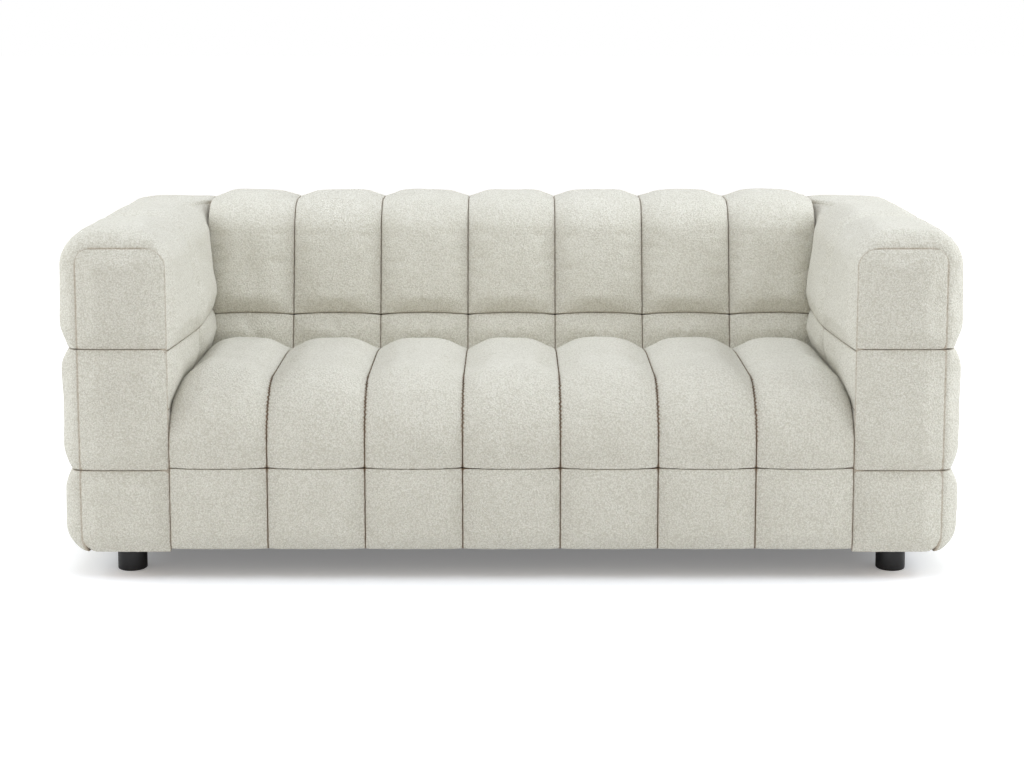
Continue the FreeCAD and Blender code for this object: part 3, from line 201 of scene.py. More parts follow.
def puff(course, plane, sides, groove, crown, shoulder=45 * mm, reach=(38 * mm, 38 * mm),
         spacing=9 * mm, dips=None, dip_reach=60 * mm, wobble=1.2 * mm, along=None,
         left=(0.0, 0.0), arch=(0.0, 0.0)):
    """Rings of one puff: plane maps a path point and a side to space, and the rest are functions of
    the distance along the path, or plain numbers. left is the share of the crown that is left at the
    two cross seams, and arch is how far the middle of those seams bows along the path."""
    length, at = course
    seed = next(puff_seeds)
    draw = np.random.default_rng(seed)
    fullness = draw.uniform(*fullness_range)
    tilt = draw.uniform(-most_tilt, most_tilt)
    wander = waves(seed + wander_seed, 3, *wander_lengths)
    stops = spread(length, spacing) if along is None else along(length)
    rings = []
    notes = []
    for stop in stops:
        u, v, heading = at(stop)
        low, high = sides(stop, u, v)
        origin = np.array(plane(u, v, low))
        across = np.array(plane(u, v, high)) - origin
        width = np.linalg.norm(across)
        across /= width
        outward = np.array(plane(u - sin(heading), v + cos(heading), low)) - origin
        ends = min(left[0] + (1 - left[0]) * rise(stop, reach[0], softness),
                   left[1] + (1 - left[1]) * rise(length - stop, reach[1], softness))
        base = groove(stop, u, v, heading) if callable(groove) else groove
        top = (crown(stop, u, v, heading) if callable(crown) else crown) * fullness * ends
        dip = dips(stop, u, v, heading) if dips else (0.0, 0.0)
        if np.isscalar(base):
            base = (base, base)
        columns = spread(width, max(spacing, 8 * mm))
        if rings:
            columns = np.interp(np.linspace(0, 1, tops), np.linspace(0, 1, len(columns)), columns)
        tops = len(columns)
        share = columns / width
        centred = 2 * share - 1
        roll = min(shoulder, width / widest_shoulder)
        side = np.minimum(rise(columns, roll, softness), rise(width - columns, roll, softness))
        swell = full_flat + (1 - full_flat) * (1 - centred ** 2) + tilt * centred
        level = base[0] + (base[1] - base[0]) * share + top * side * swell
        level -= dip[0] * (1 - rise(columns, dip_reach))
        level -= dip[1] * (1 - rise(width - columns, dip_reach))
        drift = wobble * sin(pi * stop / length) * wander(stop) * (1 - centred ** 2)
        inset = np.clip(columns, seam_gap, width - seam_gap) + drift
        onward = np.array(plane(u + cos(heading), v + sin(heading), low)) - origin
        bow = arch[0] * np.exp(-stop / arch_reach) + arch[1] * np.exp(-(length - stop) / arch_reach)
        bows = bow * (1 - centred ** 2)
        ring = [origin + across * c + outward * h + onward * b for c, h, b in zip(inset, level, bows)]
        marks = [(0.0, 0.0, 0.0, 1.0, 0.0) for c in columns]
        for place, edge in ((width - seam_gap, level[-1]), (seam_gap, level[0])):
            shares = wall_shares if place > width / 2 else reversed(wall_shares)
            wall = [origin + across * place + outward * edge * part for part in shares]
            marks += [(0.0, 0.0, 0.0, 0.0, 0.0)] * len(wall)
            ring += wall
            if place > width / 2:
                for part in (0.75, 0.5, 0.25):
                    ring.append(origin + across * width * part + outward * edge * base_share)
                    marks.append((0.0, 0.0, 0.0, 0.0, 0.0))
        rings.append(ring)
        notes.append(marks)
    rings = np.array(rings)
    notes = np.array(notes)
    cloth = rings[:, :tops]
    steps = np.linalg.norm(np.diff(cloth, axis=1), axis=2)
    notes[:, 1:tops, 1] = np.cumsum(steps, axis=1)
    notes[:, :tops - 1, 2] = np.cumsum(steps[:, ::-1], axis=1)[:, ::-1]
    strides = np.linalg.norm(np.diff(cloth, axis=0), axis=2)
    notes[1:, :tops, 0] = np.cumsum(strides, axis=0)
    notes[:-1, :tops, 4] = np.cumsum(strides[::-1], axis=0)[::-1]
    return {"rings": rings, "notes": notes, "tops": tops, "seed": seed}


def mirrored(puffs):
    """The same puffs on the other arm, with stuffing of their own."""
    found = []
    for one in puffs:
        other = dict(one)
        other["rings"] = one["rings"] * np.array([-1, 1, 1])
        other["seed"] = next(puff_seeds)
        found.append(other)
    return found


# %% [markdown]
# The rings of a puff become faces between neighbours, with a cap at each end. Normals are then
# recalculated, which is safe on a closed shell, so that the left arm's mirrored puffs also face out.

# %% Sew puffs into one piece
body_name = next(iter(frame["bodies"]))
soft_pieces = []


def sew(name, puffs, replaced=None):
    """One mesh object from the rings of its puffs, with a pin group and notes for the later steps."""
    points = []
    faces = []
    notes = []
    pinned = []
    for number, one in enumerate(puffs):
        rings = one["rings"]
        first = len(points)
        rows, around = rings.shape[:2]
        points.extend(rings.reshape(-1, 3).tolist())
        for row in range(rows):
            for column in range(around):
                spot = first + row * around + column
                loose = 0 < row < rows - 1 and 0 < column < one["tops"] - 1
                if one.get("loose") is not None:
                    loose = one["loose"][row][column]
                if not loose:
                    pinned.append(spot)
                if row < rows - 1:
                    after = first + row * around + (column + 1) % around
                    faces.append((spot, after, after + around, spot + around))
        faces.append(tuple(range(first, first + around)))
        faces.append(tuple(range(first + (rows - 1) * around, first + rows * around)))
        marks = one["notes"].reshape(-1, 5)
        notes.append(np.column_stack([marks, np.full(len(marks), number)]))
    mesh = bpy.data.meshes.new(name)
    mesh.from_pydata(points, [], faces)
    notes = np.concatenate(notes)
    for column, label in enumerate(("along", "from_a", "from_b", "cloth", "to_end", "puff")):
        attribute = mesh.attributes.new(label, "FLOAT", "POINT")
        attribute.data.foreach_set("value", notes[:, column].astype(np.float32))
    piece = bpy.data.objects.new(name, mesh)
    bpy.context.scene.collection.objects.link(piece)
    group = piece.vertex_groups.new(name="pinned")
    group.add(pinned, 1.0, "REPLACE")
    activate(piece)
    bpy.ops.object.mode_set(mode="EDIT")
    bpy.ops.mesh.select_all(action="SELECT")
    bpy.ops.mesh.normals_make_consistent(inside=False)
    bpy.ops.object.mode_set(mode="OBJECT")
    soft_pieces.append((piece, puffs, replaced or name))
    print(name, len(points), "points in", len(puffs), "puffs")
    return piece


def activate(piece):
    """Deselect everything, then select one object and make it active."""
    bpy.ops.object.select_all(action="DESELECT")
    piece.select_set(True)
    bpy.context.view_layer.objects.active = piece


def across_x(u, v, side):
    """A path in the side view, with the puff across the sofa."""
    return (side, u, v)


def across_y(u, v, side):
    """A path in the front view, with the puff along the arm."""
    return (u, side, v)


def across_z(u, v, side):
    """A path in the plan, with the puff upright."""
    return (u, v, side)


def turned(heading, before, above, behind):
    """A value that goes smoothly from the front to the top to the rear as the cloth turns over."""
    forward = -sin(heading)
    upward = cos(heading)
    return (before if forward < 0 else behind) * forward ** 2 + above * upward ** 2


channel_pitch = 2 * arm_inside / channel_count


def channel_sides(index):
    """The two side seams of one channel."""
    low = -arm_inside + index * channel_pitch
    return lambda stop, u, v: (low, low + channel_pitch)


# %% [markdown]
# The seat is seven long channels. Each starts at the seam across the front, goes up, rounds the front
# edge and runs back under the backrest. Where it rounds the edge the cloth is gathered, so the mesh
# is finer there. The two outer channels sink beside the arms.

# %% Seat channels
seat_padding = 50 * mm
seat_bend = 130 * mm - seat_padding
seat_side_drop = 27 * mm
seat_rear_drop = 16 * mm
rear_ease = 170 * mm
rear_fullness = 0.62
seat_path = trace(
    (front_seam + seat_padding, seat_seam_level), pi / 2,
    [(seat_level - seat_padding - seat_bend - seat_seam_level, 0), (seat_bend * pi / 2, pi / 2),
     (seat_back - front_seam - seat_padding - seat_bend, 0)])
gather_start = 40 * mm
gather_end = 285 * mm
gather_rings = 3.2 * mm


def gathered(length):
    """Rings close together over the gathered front edge."""
    fine = np.arange(gather_start, gather_end, gather_rings)
    coarse = spread(length, 10 * mm)
    clear = 5 * mm
    coarse = coarse[(coarse < gather_start - clear) | (coarse > gather_end + clear)]
    return np.sort(np.concatenate([fine, coarse]))


def seat_groove(stop, u, v, heading):
    """Height of the seams over the path: they sink a little towards the back."""
    to_end = seat_path[0] - stop
    return seat_padding - seat_rear_drop * max(0.0, 1 - to_end / rear_ease) ** 2


def seat_dips(index):
    """How far the outer side of the first and the last channel sinks beside the arm."""
    def dips(stop, u, v, heading):
        dip = seat_side_drop * max(0.0, cos(heading)) ** 2
        return dip * (index == 0), dip * (index == channel_count - 1)

    return dips


def seat_rise(stop, u, v, heading):
    """Height of the crown over its seams, lower where the channel runs under the back."""
    sink = float(rise(seat_path[0] - stop, rear_ease))
    return turned(heading, front_crown, seat_crown, 0) * (rear_fullness + (1 - rear_fullness) * sink)


for index in range(channel_count):
    sew(f"seat_channel_{index + 1}", [puff(
        seat_path, across_x, channel_sides(index), seat_groove, seat_rise, shoulder=85 * mm,
        reach=(9 * mm, 25 * mm), dips=seat_dips(index), dip_reach=80 * mm, along=gathered,
        left=(0.9, 0.3))])

# %% [markdown]
# Below the front seam a row of short puffs runs down to the hem, where the cloth turns under.

# %% Seat border
hem_turn = 7 * mm
border_path = trace(
    (front_seam + seat_padding, seat_hem_level), pi / 2, [(seat_seam_level - seat_hem_level, 0)])


def border_groove(stop, u, v, heading):
    """The cloth turns in at the hem, where it is pulled under the frame."""
    return seat_padding - hem_turn * (1 - rise(stop, 2 * hem_turn))


sew("seat_border", [puff(
    border_path, across_x, channel_sides(index), border_groove, front_crown, shoulder=85 * mm,
    reach=(60 * mm, 9 * mm), left=(0.2, 0.9)) for index in range(channel_count)])

# %% [markdown]
# The back's channels start at the lumbar seam, lean back a little, wrap over the top and go down
# the rear to the first seam there.

# %% Back channels
lean = radians(12.2)
padding = 50 * mm
lumbar_depth = 556 * mm
front_bend = 78 * mm - padding
rear_bend = 62 * mm - padding
lumbar_start = (front_seam + lumbar_depth + padding * cos(lean), lumbar_seam_level - padding * sin(lean))
top_base = back_top - padding
rear_base = rear_seam - padding
lean_rise = top_base - front_bend * (1 - sin(lean)) - lumbar_start[1]
bend_centre = lumbar_start[0] + lean_rise * tan(lean) + front_bend * cos(lean)
back_path = trace(
    lumbar_start, pi / 2 - lean,
    [(lean_rise / cos(lean), 0), (front_bend * (pi / 2 - lean), pi / 2 - lean),
     (rear_base - rear_bend - bend_centre, 0), (rear_bend * pi / 2, pi / 2),
     (top_base - rear_bend - inner_seam_level, 0)])


def back_rise(stop, u, v, heading):
    """Height of the crown in front, on top and at the rear."""
    return turned(heading, back_front_crown, back_top_crown, rear_crown)


def even_bends(length):
    """Rings that stay close where the path turns with a small radius at its base."""
    return spread(length, 7 * mm)


seam_bow = 5 * mm
for index in range(channel_count):
    sew(f"back_channel_{index + 1}", [puff(
        back_path, across_x, channel_sides(index), padding, back_rise, shoulder=80 * mm,
        reach=(40 * mm, 38 * mm), along=even_bends, left=(0.35, 0.0), arch=(seam_bow, 0.0))])

# %% [markdown]
# Between the seat and the lumbar seam a last row of puffs stands behind the seat's end. Its seams
# are upright up to the seat and then lean back to meet the channels above.

# %% Lumbar row
upright_top = seat_level + 5 * mm
lumbar_crown = 16 * mm
lean_onset = 25 * mm
lumbar_fade = 60 * mm
lumbar_foot = 35 * mm
lumbar_drop = lumbar_start[1] - (seat_level - seat_padding)
lumbar_path = trace((lumbar_start[0] - lumbar_drop * tan(lean), seat_level - seat_padding),
                    pi / 2 - lean, [(lumbar_drop / cos(lean), 0)])


def lumbar_groove(stop, u, v, heading):
    """The seams stand upright behind the seat, then lean back to the lumbar seam."""
    lean_start = upright_top - lean_onset
    share = (v + padding * sin(lean) - lean_start) / (lumbar_seam_level - lean_start)
    share = min(1.0, max(0.0, share))
    depth = seat_back - front_seam + (lumbar_depth - seat_back + front_seam) * share
    return (u - front_seam - depth) / cos(lean)


def lumbar_rise(stop, u, v, heading):
    """The crown grows from nothing behind the seat to its full height above it."""
    above = (v + padding * sin(lean) - upright_top + lumbar_foot) / lumbar_fade
    above = min(1.0, max(0.0, above))
    return lumbar_crown * above * above * (3 - 2 * above)


sew("back_lumbar_row", [puff(
    lumbar_path, across_x, channel_sides(index), lumbar_groove, lumbar_rise, shoulder=80 * mm,
    reach=(1 * mm, 34 * mm), spacing=6 * mm, left=(0.0, 0.35), arch=(0.0, seam_bow))
    for index in range(channel_count)])

# %% [markdown]
# The rear has two more rows. The lowest turns in at its hem, as cloth does that is pulled under a
# frame and stapled there.

# %% Rear rows
hem_tuck = 29 * mm
hem_round = 36 * mm


def tuck(height):
    """How far cloth turns in at a height over the hem."""
    return hem_tuck * (1 - float(rise(height - hem_level, hem_round)))


def rear_groove(stop, u, v, heading):
    """Height of the rear seams over the path, less what turns in at the hem."""
    return padding - tuck(v)


rear_rows = {
    "back_outer_middle_row": (inner_seam_level, low_seam_level, 38 * mm),
    "back_outer_bottom_row": (low_seam_level, hem_level, 60 * mm),
}
for name, (upper, lower, foot_reach) in rear_rows.items():
    row_path = trace((rear_base, upper), -pi / 2, [(upper - lower, 0)])
    sew(name, [puff(
        row_path, across_x, channel_sides(index), rear_groove, rear_crown,
        reach=(38 * mm, foot_reach)) for index in range(channel_count)])

# %% [markdown]
# An arm's top puffs start at the seam on its inner side, wrap over the top and end at the seam on its
# outer side. The inner face swells where its seams cross, because the two puffs there are full. At
# the front the cloth comes down in a round shoulder to the edge of the front panel.

# %% Arm top puffs
arm_pad = 40 * mm
arm_base_bend = 52 * mm - arm_pad
inner_base = arm_inside + arm_pad
outer_base = arm_side - arm_pad
top_level = arm_top - arm_pad
inner_swell = 24 * mm
rear_swell = 12 * mm
inner_puff = 7 * mm
front_edge_drop = 20 * mm
side_edge_drop = 22 * mm
inner_edge_drop = 0.0
edge_roll = 30 * mm
panel_seam = front_seam + 2 * mm
arm_path = trace(
    (inner_base, inner_seam_level), pi / 2,
    [(top_level - arm_base_bend - inner_seam_level, 0), (arm_base_bend * pi / 2, pi / 2),
     (outer_base - inner_base - 2 * arm_base_bend, 0), (arm_base_bend * pi / 2, pi / 2),
     (top_level - arm_base_bend - outer_seam_level, 0)])
columns = [(panel_seam, column_one), (column_one, column_two)]


def swell(u, height, foot):
    """Share of the swell of the arm's inner face at a height, greatest at the level seam."""
    if u > inner_base + mm:
        return 0.0
    if height >= inner_seam_level:
        share = (top_level - height) / (top_level - inner_seam_level)
    else:
        share = (height - foot) / (inner_seam_level - foot)
    share = min(1.0, max(0.0, share))
    return share * share * (3 - 2 * share)


def swollen(column, share):
    """Heights of an inner puff's two sides, where the inner face has a share of its swell."""
    raised = arm_pad + inner_swell * share
    if column == 0:
        return arm_pad, raised
    return raised, arm_pad + rear_swell * share


def arm_groove(column):
    """Heights of a top puff's side seams, as a function along its path."""
    return lambda stop, u, v, heading: swollen(column, swell(u, v, 0))


def arm_dips(column):
    """How far the front puff rolls down to the edge of the front panel."""
    def dips(stop, u, v, heading):
        dip = turned(heading, inner_edge_drop, front_edge_drop, side_edge_drop)
        return (dip, 0.0) if column == 0 else (0.0, 0.0)

    return dips


def arm_rise(stop, u, v, heading):
    """Height of the crown on the inner side, the top and the outer side."""
    inside = inner_crown + inner_puff * swell(u, v, 0)
    return turned(heading, inside, arm_top_crown, side_crown)


for column, column_name in enumerate(("front", "middle")):
    made = [puff(
        arm_path, across_y, lambda stop, u, v, c=column: columns[c], arm_groove(column), arm_rise,
        shoulder=75 * mm, reach=(30 * mm, 38 * mm), dips=arm_dips(column), dip_reach=edge_roll,
        along=even_bends)]
    sew(f"arm_right_top_puff_{column_name}", made)
    sew(f"arm_left_top_puff_{column_name}", mirrored(made))

# %% [markdown]
# Under them, the inner pads fill the arm down to the seat. Only their upper half is seen.

# %% Arm inner pads
pad_foot = seat_level - seat_padding
pad_start = seat_level - seat_side_drop - 10 * mm
pad_fade = 50 * mm
pad_path = trace((inner_base, pad_foot), pi / 2, [(inner_seam_level - pad_foot, 0)])
rib_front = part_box("arm_right_inner_pad")[1].y
pad_columns = [(panel_seam, column_one), (column_one, rib_front)]


def pad_groove(column):
    """Heights of an inner pad's side seams, as a function along its path."""
    return lambda stop, u, v, heading: swollen(column, swell(u, v, pad_start))


def pad_rise(stop, u, v, heading):
    """The crown starts where the seat stops pressing on the pad."""
    inside = inner_crown + inner_puff * swell(u, v, pad_start)
    return inside * min(1.0, max(0.0, (v - pad_start) / pad_fade))


made = [puff(
    pad_path, across_y, lambda stop, u, v, c=column: pad_columns[c], pad_groove(column), pad_rise,
    reach=(1 * mm, 30 * mm), shoulder=75 * mm, dips=arm_dips(column), dip_reach=edge_roll,
    spacing=7 * mm) for column in range(2)]
apron_path = trace((inner_base, hem_level), pi / 2, [(pad_foot - hem_level, 0)])
apron_rear = front_seam + seat_padding
made.append(puff(apron_path, across_y, lambda stop, u, v: (panel_seam, apron_rear),
                 arm_pad, 0.0, reach=(1 * mm, 1 * mm), wobble=0.0))
sew("arm_right_inner_pad", made)
sew("arm_left_inner_pad", mirrored(made))

# %% [markdown]
# The outer side of an arm has two more rows. The rear corner puff of each row is bent round the
# corner: its path lies in the plan, and its two sides are the seams above and below it.

# %% Arm outer bands
corner_radius = 45 * mm
hem_relief = 0.6
corner_base = trace(
    (arm_inside, rear_seam - arm_pad), 0.0,
    [(arm_side - corner_radius - arm_inside, 0), ((corner_radius - arm_pad) * pi / 2, pi / 2),
     (rear_seam - corner_radius - column_two, 0)])
band_rows = {
    "outer_middle_band": (outer_seam_level, low_seam_level, 38 * mm),
    "outer_bottom_band": (low_seam_level, hem_level, 60 * mm),
}


def band_groove(stop, u, v, heading):
    """Height of the outer seams over the path, less what turns in at the hem."""
    return arm_pad - tuck(v)


def band_dips(column):
    """How far the front band rolls in to the front panel, less near the hem."""
    def dips(stop, u, v, heading):
        dip = side_edge_drop * (1 - hem_relief * tuck(v) / hem_tuck)
        return (dip if column == 0 else 0.0, 0.0)

    return dips


for row_name, (upper, lower, foot_reach) in band_rows.items():
    band_path = trace((outer_base, upper), -pi / 2, [(upper - lower, 0)])
    made = [puff(
        band_path, across_y, lambda stop, u, v, c=column: columns[c], band_groove, side_crown,
        shoulder=75 * mm, reach=(38 * mm, foot_reach), dips=band_dips(column), dip_reach=edge_roll)
        for column in range(2)]
    hem_dip = hem_tuck if lower == hem_level else 0.0
    made.append(puff(
        corner_base, across_z, lambda stop, u, v: (lower, upper), arm_pad, side_crown,
        dips=lambda stop, u, v, heading: (hem_dip, 0.0), dip_reach=hem_round))
    sew(f"arm_right_{row_name}", made)
    sew(f"arm_left_{row_name}", mirrored(made))

# %% [markdown]
# The top corner puff covers a box corner: its two outer sides and its top are round and full, and
# its two inner sides are flat against its neighbours. It is made of level rings that draw in as they
# go up, an ellipse on each side, and then close over the top.

# %% Arm top corner puffs
cap_top = arm_top + 0.6 * arm_top_crown
cap_dome = 0.4 * arm_top_crown
cap_steps = (0.0, 1.2 * mm, 4 * mm, 9 * mm, 17 * mm, 27 * mm, 38 * mm)
ring_arc = 7
ring_run = 14
inner_corner = 3 * mm


def rounded_ring(low, high, radii, height):
    """Points of a level rectangle whose corners are quarter ellipses, from its front inner corner."""
    centres = [
        (low[0] + radii[0][0], low[1] + radii[0][1], pi),
        (high[0] - radii[1][0], low[1] + radii[1][1], 1.5 * pi),
        (high[0] - radii[2][0], high[1] - radii[2][1], 0.0),
        (low[0] + radii[3][0], high[1] - radii[3][1], 0.5 * pi),
    ]
    arcs = []
    for (x, y, begin), (wide, deep) in zip(centres, radii):
        angles = begin + np.linspace(0, pi / 2, ring_arc)
        arcs.append(np.column_stack([x + wide * np.cos(angles), y + deep * np.sin(angles)]))
    points = []
    for index, arc in enumerate(arcs):
        points.extend(arc)
        onward = arcs[(index + 1) % 4][0]
        shares = np.linspace(0, 1, ring_run + 1)[1:-1]
        points.extend(arc[-1] + (onward - arc[-1]) * share for share in shares)
    return np.column_stack([np.array(points), np.full(len(points), height)])


def corner_cap():
    """Rings of the top corner puff: an inner cup, the outer sides and the closed top."""
    side_bend = 60 * mm
    seam_width = 40 * mm
    seam_drop = arm_top_crown
    inner_roll = 52 * mm
    roll_end = 275 * mm
    low_edge = outer_seam_level
    levels = [low_edge + step for step in cap_steps]
    levels += list(np.linspace(low_edge + 50 * mm, cap_top - side_bend, 14))
    levels += [cap_top - side_bend * (1 - sin(radians(degree))) for degree in range(8, 91, 7)]
    levels += [arm_top + seam_drop * share for share in (0.0, 0.15, 0.3, 0.45)]
    rings = []
    loose = []
    for level in sorted(set(levels)):
        up = max(0.0, level - (cap_top - side_bend)) / side_bend
        round_off = side_bend * (1 - np.sqrt(max(0.0, 1 - up * up)))
        crown = side_crown * float(rise(level - low_edge, 38 * mm))
        sunk = max(0.0, level - arm_top) / seam_drop
        pulled = seam_width * (1 - np.sqrt(max(0.0, 1 - sunk * sunk)))
        low = (arm_inside + seam_gap + pulled, column_two + seam_gap + pulled)
        high = (arm_side + crown - round_off, rear_seam + crown - round_off)
        seam_round = inner_corner + 0.5 * pulled
        shallow = max(1 * mm, crown)
        turn = corner_radius + crown - 0.25 * round_off
        side_round = (shallow, corner_radius)
        rear_round = (corner_radius, shallow)
        radii = ((seam_round, seam_round), side_round, (turn, turn), rear_round)
        rings.append(rounded_ring(low, high, radii, level))
        free = level > low_edge + mm
        xs, ys = rings[-1][:, 0], rings[-1][:, 1]
        over = min(1.0, max(0.0, (level - arm_top + inner_roll) / inner_roll))
        rolled = inner_roll * (1 - np.sqrt(1 - over ** 2))
        before_back = np.clip((roll_end - ys) / (roll_end - column_two), 0, 1) ** 0.5
        reached = np.clip((high[0] - xs) / (high[0] - low[0]), 0, 1)
        rings[-1][:, 0] += rolled * before_back * reached
        seam_side = (xs < arm_inside + mm) | (ys < column_two + mm)
        loose.append(~seam_side if free else np.zeros(len(xs), bool))
    outer = rings[-1]
    centre = outer.mean(axis=0)
    for share in (0.1, 0.25, 0.45, 0.65, 0.85):
        ring = centre + (outer - centre) * (1 - share)
        ring[:, 2] = cap_top + cap_dome * (1 - (1 - share) ** 2)
        rings.append(ring)
        loose.append(np.ones(len(ring), bool))
    core_low = (arm_inside + seam_gap, column_two + seam_gap)
    core_high = (arm_side - arm_pad, rear_seam - arm_pad)
    cup = [rounded_ring(core_low, core_high, ((inner_corner, inner_corner),) * 4, level)
           for level in (top_level - mm, low_edge)]
    rings = cup + rings
    loose = [np.zeros(len(outer), bool)] * 2 + loose
    rings = np.array(rings)
    notes = np.ones(rings.shape[:2] + (5,))
    over_seam = np.clip(arm_top - rings[:, :, 2], 0, None)
    past_column = np.clip(rings[:, :, 1] - column_two, 0, None)
    past_inside = np.clip(rings[:, :, 0] - arm_inside, 0, None)
    to_column = np.hypot(past_column, over_seam)
    to_back = np.hypot(past_inside, over_seam)
    to_side = np.clip(rings[:, :, 0] - arm_side, 0, None) + past_column
    to_rear = np.clip(rings[:, :, 1] - rear_seam, 0, None) + past_inside
    notes[:, :, 0] = np.clip(rings[:, :, 2] - low_edge, 0, None)
    notes[:, :, 1] = np.minimum(np.minimum(to_column, to_back), np.minimum(to_side, to_rear))
    notes[:, :, 3] = np.array(loose)
    notes[:2, :, 3] = 0.0
    return {"rings": rings, "notes": notes, "tops": rings.shape[1], "seed": next(puff_seeds),
            "loose": loose}


cap = corner_cap()
sew("arm_right_corner_puff_top", [cap])
sew("arm_left_corner_puff_top", mirrored([cap]))

# %% [markdown]
# Each arm ends in three boxed panels. They are nearly flat: a thin pad under a cover that is sewn all
# round its edge. The top one has round upper corners, and the lowest a round outer foot.

# %% Arm front panels
panel_base = front_seam + 15 * mm
panel_edge = panel_base - panel_seam
panel_crown = panel_seam - panel_box[0].y
panel_low = arm_inside + inner_edge_drop
panel_high = arm_side - side_edge_drop
panel_top = arm_top - front_edge_drop
outer_round = 28 * mm
inner_round = 40 * mm
panel_levels = [hem_level, low_seam_level, outer_seam_level, panel_top]


def cut_back(distance, radius):
    """How far a round corner draws a side in, at a distance into it."""
    into = min(0.985 * radius, max(0.0, distance))
    return radius - np.sqrt(radius ** 2 - into ** 2)


def panel_sides(stop, u, v):
    """The two sides of the panels at a height: round upper corners and a round outer foot."""
    low = panel_low + cut_back(v - panel_top + inner_round, inner_round)
    high = panel_high - cut_back(v - panel_top + outer_round, outer_round)
    return low, high - cut_back(hem_level + hem_round - v, hem_round)


made = []
for level, (low, high) in enumerate(zip(panel_levels, panel_levels[1:])):
    panel_path = trace((panel_base, low), pi / 2, [(high - low, 0)])
    made.append(puff(panel_path, across_x, panel_sides, panel_edge, panel_crown, shoulder=60 * mm,
                     reach=(45 * mm, 45 * mm), wobble=0.0, along=even_bends, left=(0.1, 0.1)))
sew("arm_right_front_panels", made)
sew("arm_left_front_panels", mirrored(made))

# %% [markdown]
# So far the puffs are drawn, not stuffed. A short cloth simulation gives them their give: every seam
# is pinned, the cloth between is a little larger than its seams, and air pressure stands for the
# wadding. All pieces run together, once. No point may move more than a few millimetres, and beside a
# seam it hardly moves at all, so that a puff stays out of the next one.

# %% Stuff the puffs
stuffing_frames = 14
stuffing = {
    "quality": 3,
    "mass": 0.35,
    "tension_stiffness": 12,
    "compression_stiffness": 12,
    "shear_stiffness": 6,
    "bending_stiffness": 0.6,
    "air_damping": 2,
    "use_pressure": True,
    "uniform_pressure_force": 4,
    "shrink_min": -0.03,
    "vertex_group_mass": "pinned",
}
most_travel = 7 * mm
seam_hold = 45 * mm
seam_distances = ("along", "to_end", "from_a", "from_b")


def positions(mesh):
    """Every point of a mesh, one row each."""
    spots = np.zeros(len(mesh.vertices) * 3)
    mesh.vertices.foreach_get("co", spots)
    return spots.reshape(-1, 3)


def read(mesh, label):
    """One of the notes that each point carries, such as its distance from a seam."""
    values = np.zeros(len(mesh.vertices), np.float32)
    mesh.attributes[label].data.foreach_get("value", values)
    return values.astype(float)


def inflate():
    """Run the cloth on every piece at once and keep what it does within limits."""
    scene = bpy.context.scene
    started = {}
    for piece, puffs, replaced in soft_pieces:
        started[piece.name] = positions(piece.data)
        cloth = piece.modifiers.new("stuffing", "CLOTH")
        for setting, value in stuffing.items():
            setattr(cloth.settings, setting, value)
        cloth.settings.effector_weights.gravity = 0
        cloth.point_cache.frame_end = stuffing_frames
    for step in range(1, stuffing_frames + 1):
        scene.frame_set(step)
    for piece, puffs, replaced in soft_pieces:
        activate(piece)
        bpy.ops.object.modifier_apply(modifier="stuffing")
        before = started[piece.name]
        travel = positions(piece.data) - before
        reach = np.linalg.norm(travel, axis=1, keepdims=True)
        travel *= np.minimum(1, most_travel / np.maximum(reach, 1e-9))
        from_seam = np.minimum.reduce([read(piece.data, label) for label in seam_distances])
        travel *= np.clip(from_seam / seam_hold, 0, 1)[:, None] * read(piece.data, "cloth")[:, None]
        piece.data.vertices.foreach_set("co", (before + travel).ravel())
        print(piece.name, "moved up to", round(float(reach.max()) * 1000, 1), "mm")
    scene.frame_set(1)


inflate()

# %% [markdown]
# A subdivision smooths the cloth and gives it enough points for gathers. The thread pulls the cloth
# in at every stitch: sharply round the seat's front edge, where the strip is eased in, and hardly at
# all elsewhere. These small moves use the distances that each point carries.

# %% Gathers along the seams
side_pull = 0.9 * mm
cross_pull = 0.7 * mm
pull_reach = 11 * mm
lump_height = 0.7 * mm
lump_edge = 25 * mm


def pull(ease, place, distance, depth):
    """How far a thread draws the cloth in: unevenly along its seam, and less away from it."""
    return depth * (0.6 + 0.4 * ease(place)) * np.exp(-distance / pull_reach)


def pucker(piece, puffs):
    """Pull the cloth in along its seams, a little at random."""
    mesh = piece.data
    spots = positions(mesh)
    normals = np.zeros(len(mesh.vertices) * 3)
    mesh.vertex_normals.foreach_get("vector", normals)
    normals = normals.reshape(-1, 3)
    along, from_a, from_b, cloth, to_end, number = (
        read(mesh, label) for label in ("along", "from_a", "from_b", "cloth", "to_end", "puff"))
    depth = np.zeros(len(spots))
    for index, one in enumerate(puffs):
        own = np.abs(number - index) < 0.4
        for side, distance in enumerate((from_a, from_b)):
            ease = waves(one["seed"] * 7 + side, 5, 18 * mm, 55 * mm)
            depth += own * pull(ease, along, distance, side_pull)
        for side, distance in enumerate((along, to_end)):
            ease = waves(one["seed"] * 11 + side, 5, 20 * mm, 60 * mm)
            depth += own * pull(ease, from_a, distance, cross_pull)
        lumps_u = waves(one["seed"] * 13 + 1, 3, 70 * mm, 190 * mm)
        lumps_v = waves(one["seed"] * 13 + 2, 3, 70 * mm, 190 * mm)
        nearest = np.minimum.reduce([from_a, from_b, along, to_end])
        lumps = lumps_u(along + 0.4 * from_a) + lumps_v(from_a + 0.3 * along)
        depth -= own * (1 - np.exp(-nearest / lump_edge)) * lump_height * lumps
    spots -= normals * (depth * cloth)[:, None]
    mesh.vertices.foreach_set("co", spots.ravel())


gather_pitch = 9.5 * mm
gather_shift = 2.1 * mm
gather_ridge = 1.8 * mm
gather_middle = 165 * mm
gather_half = 105 * mm
edge_start = 80 * mm
edge_length = 125 * mm


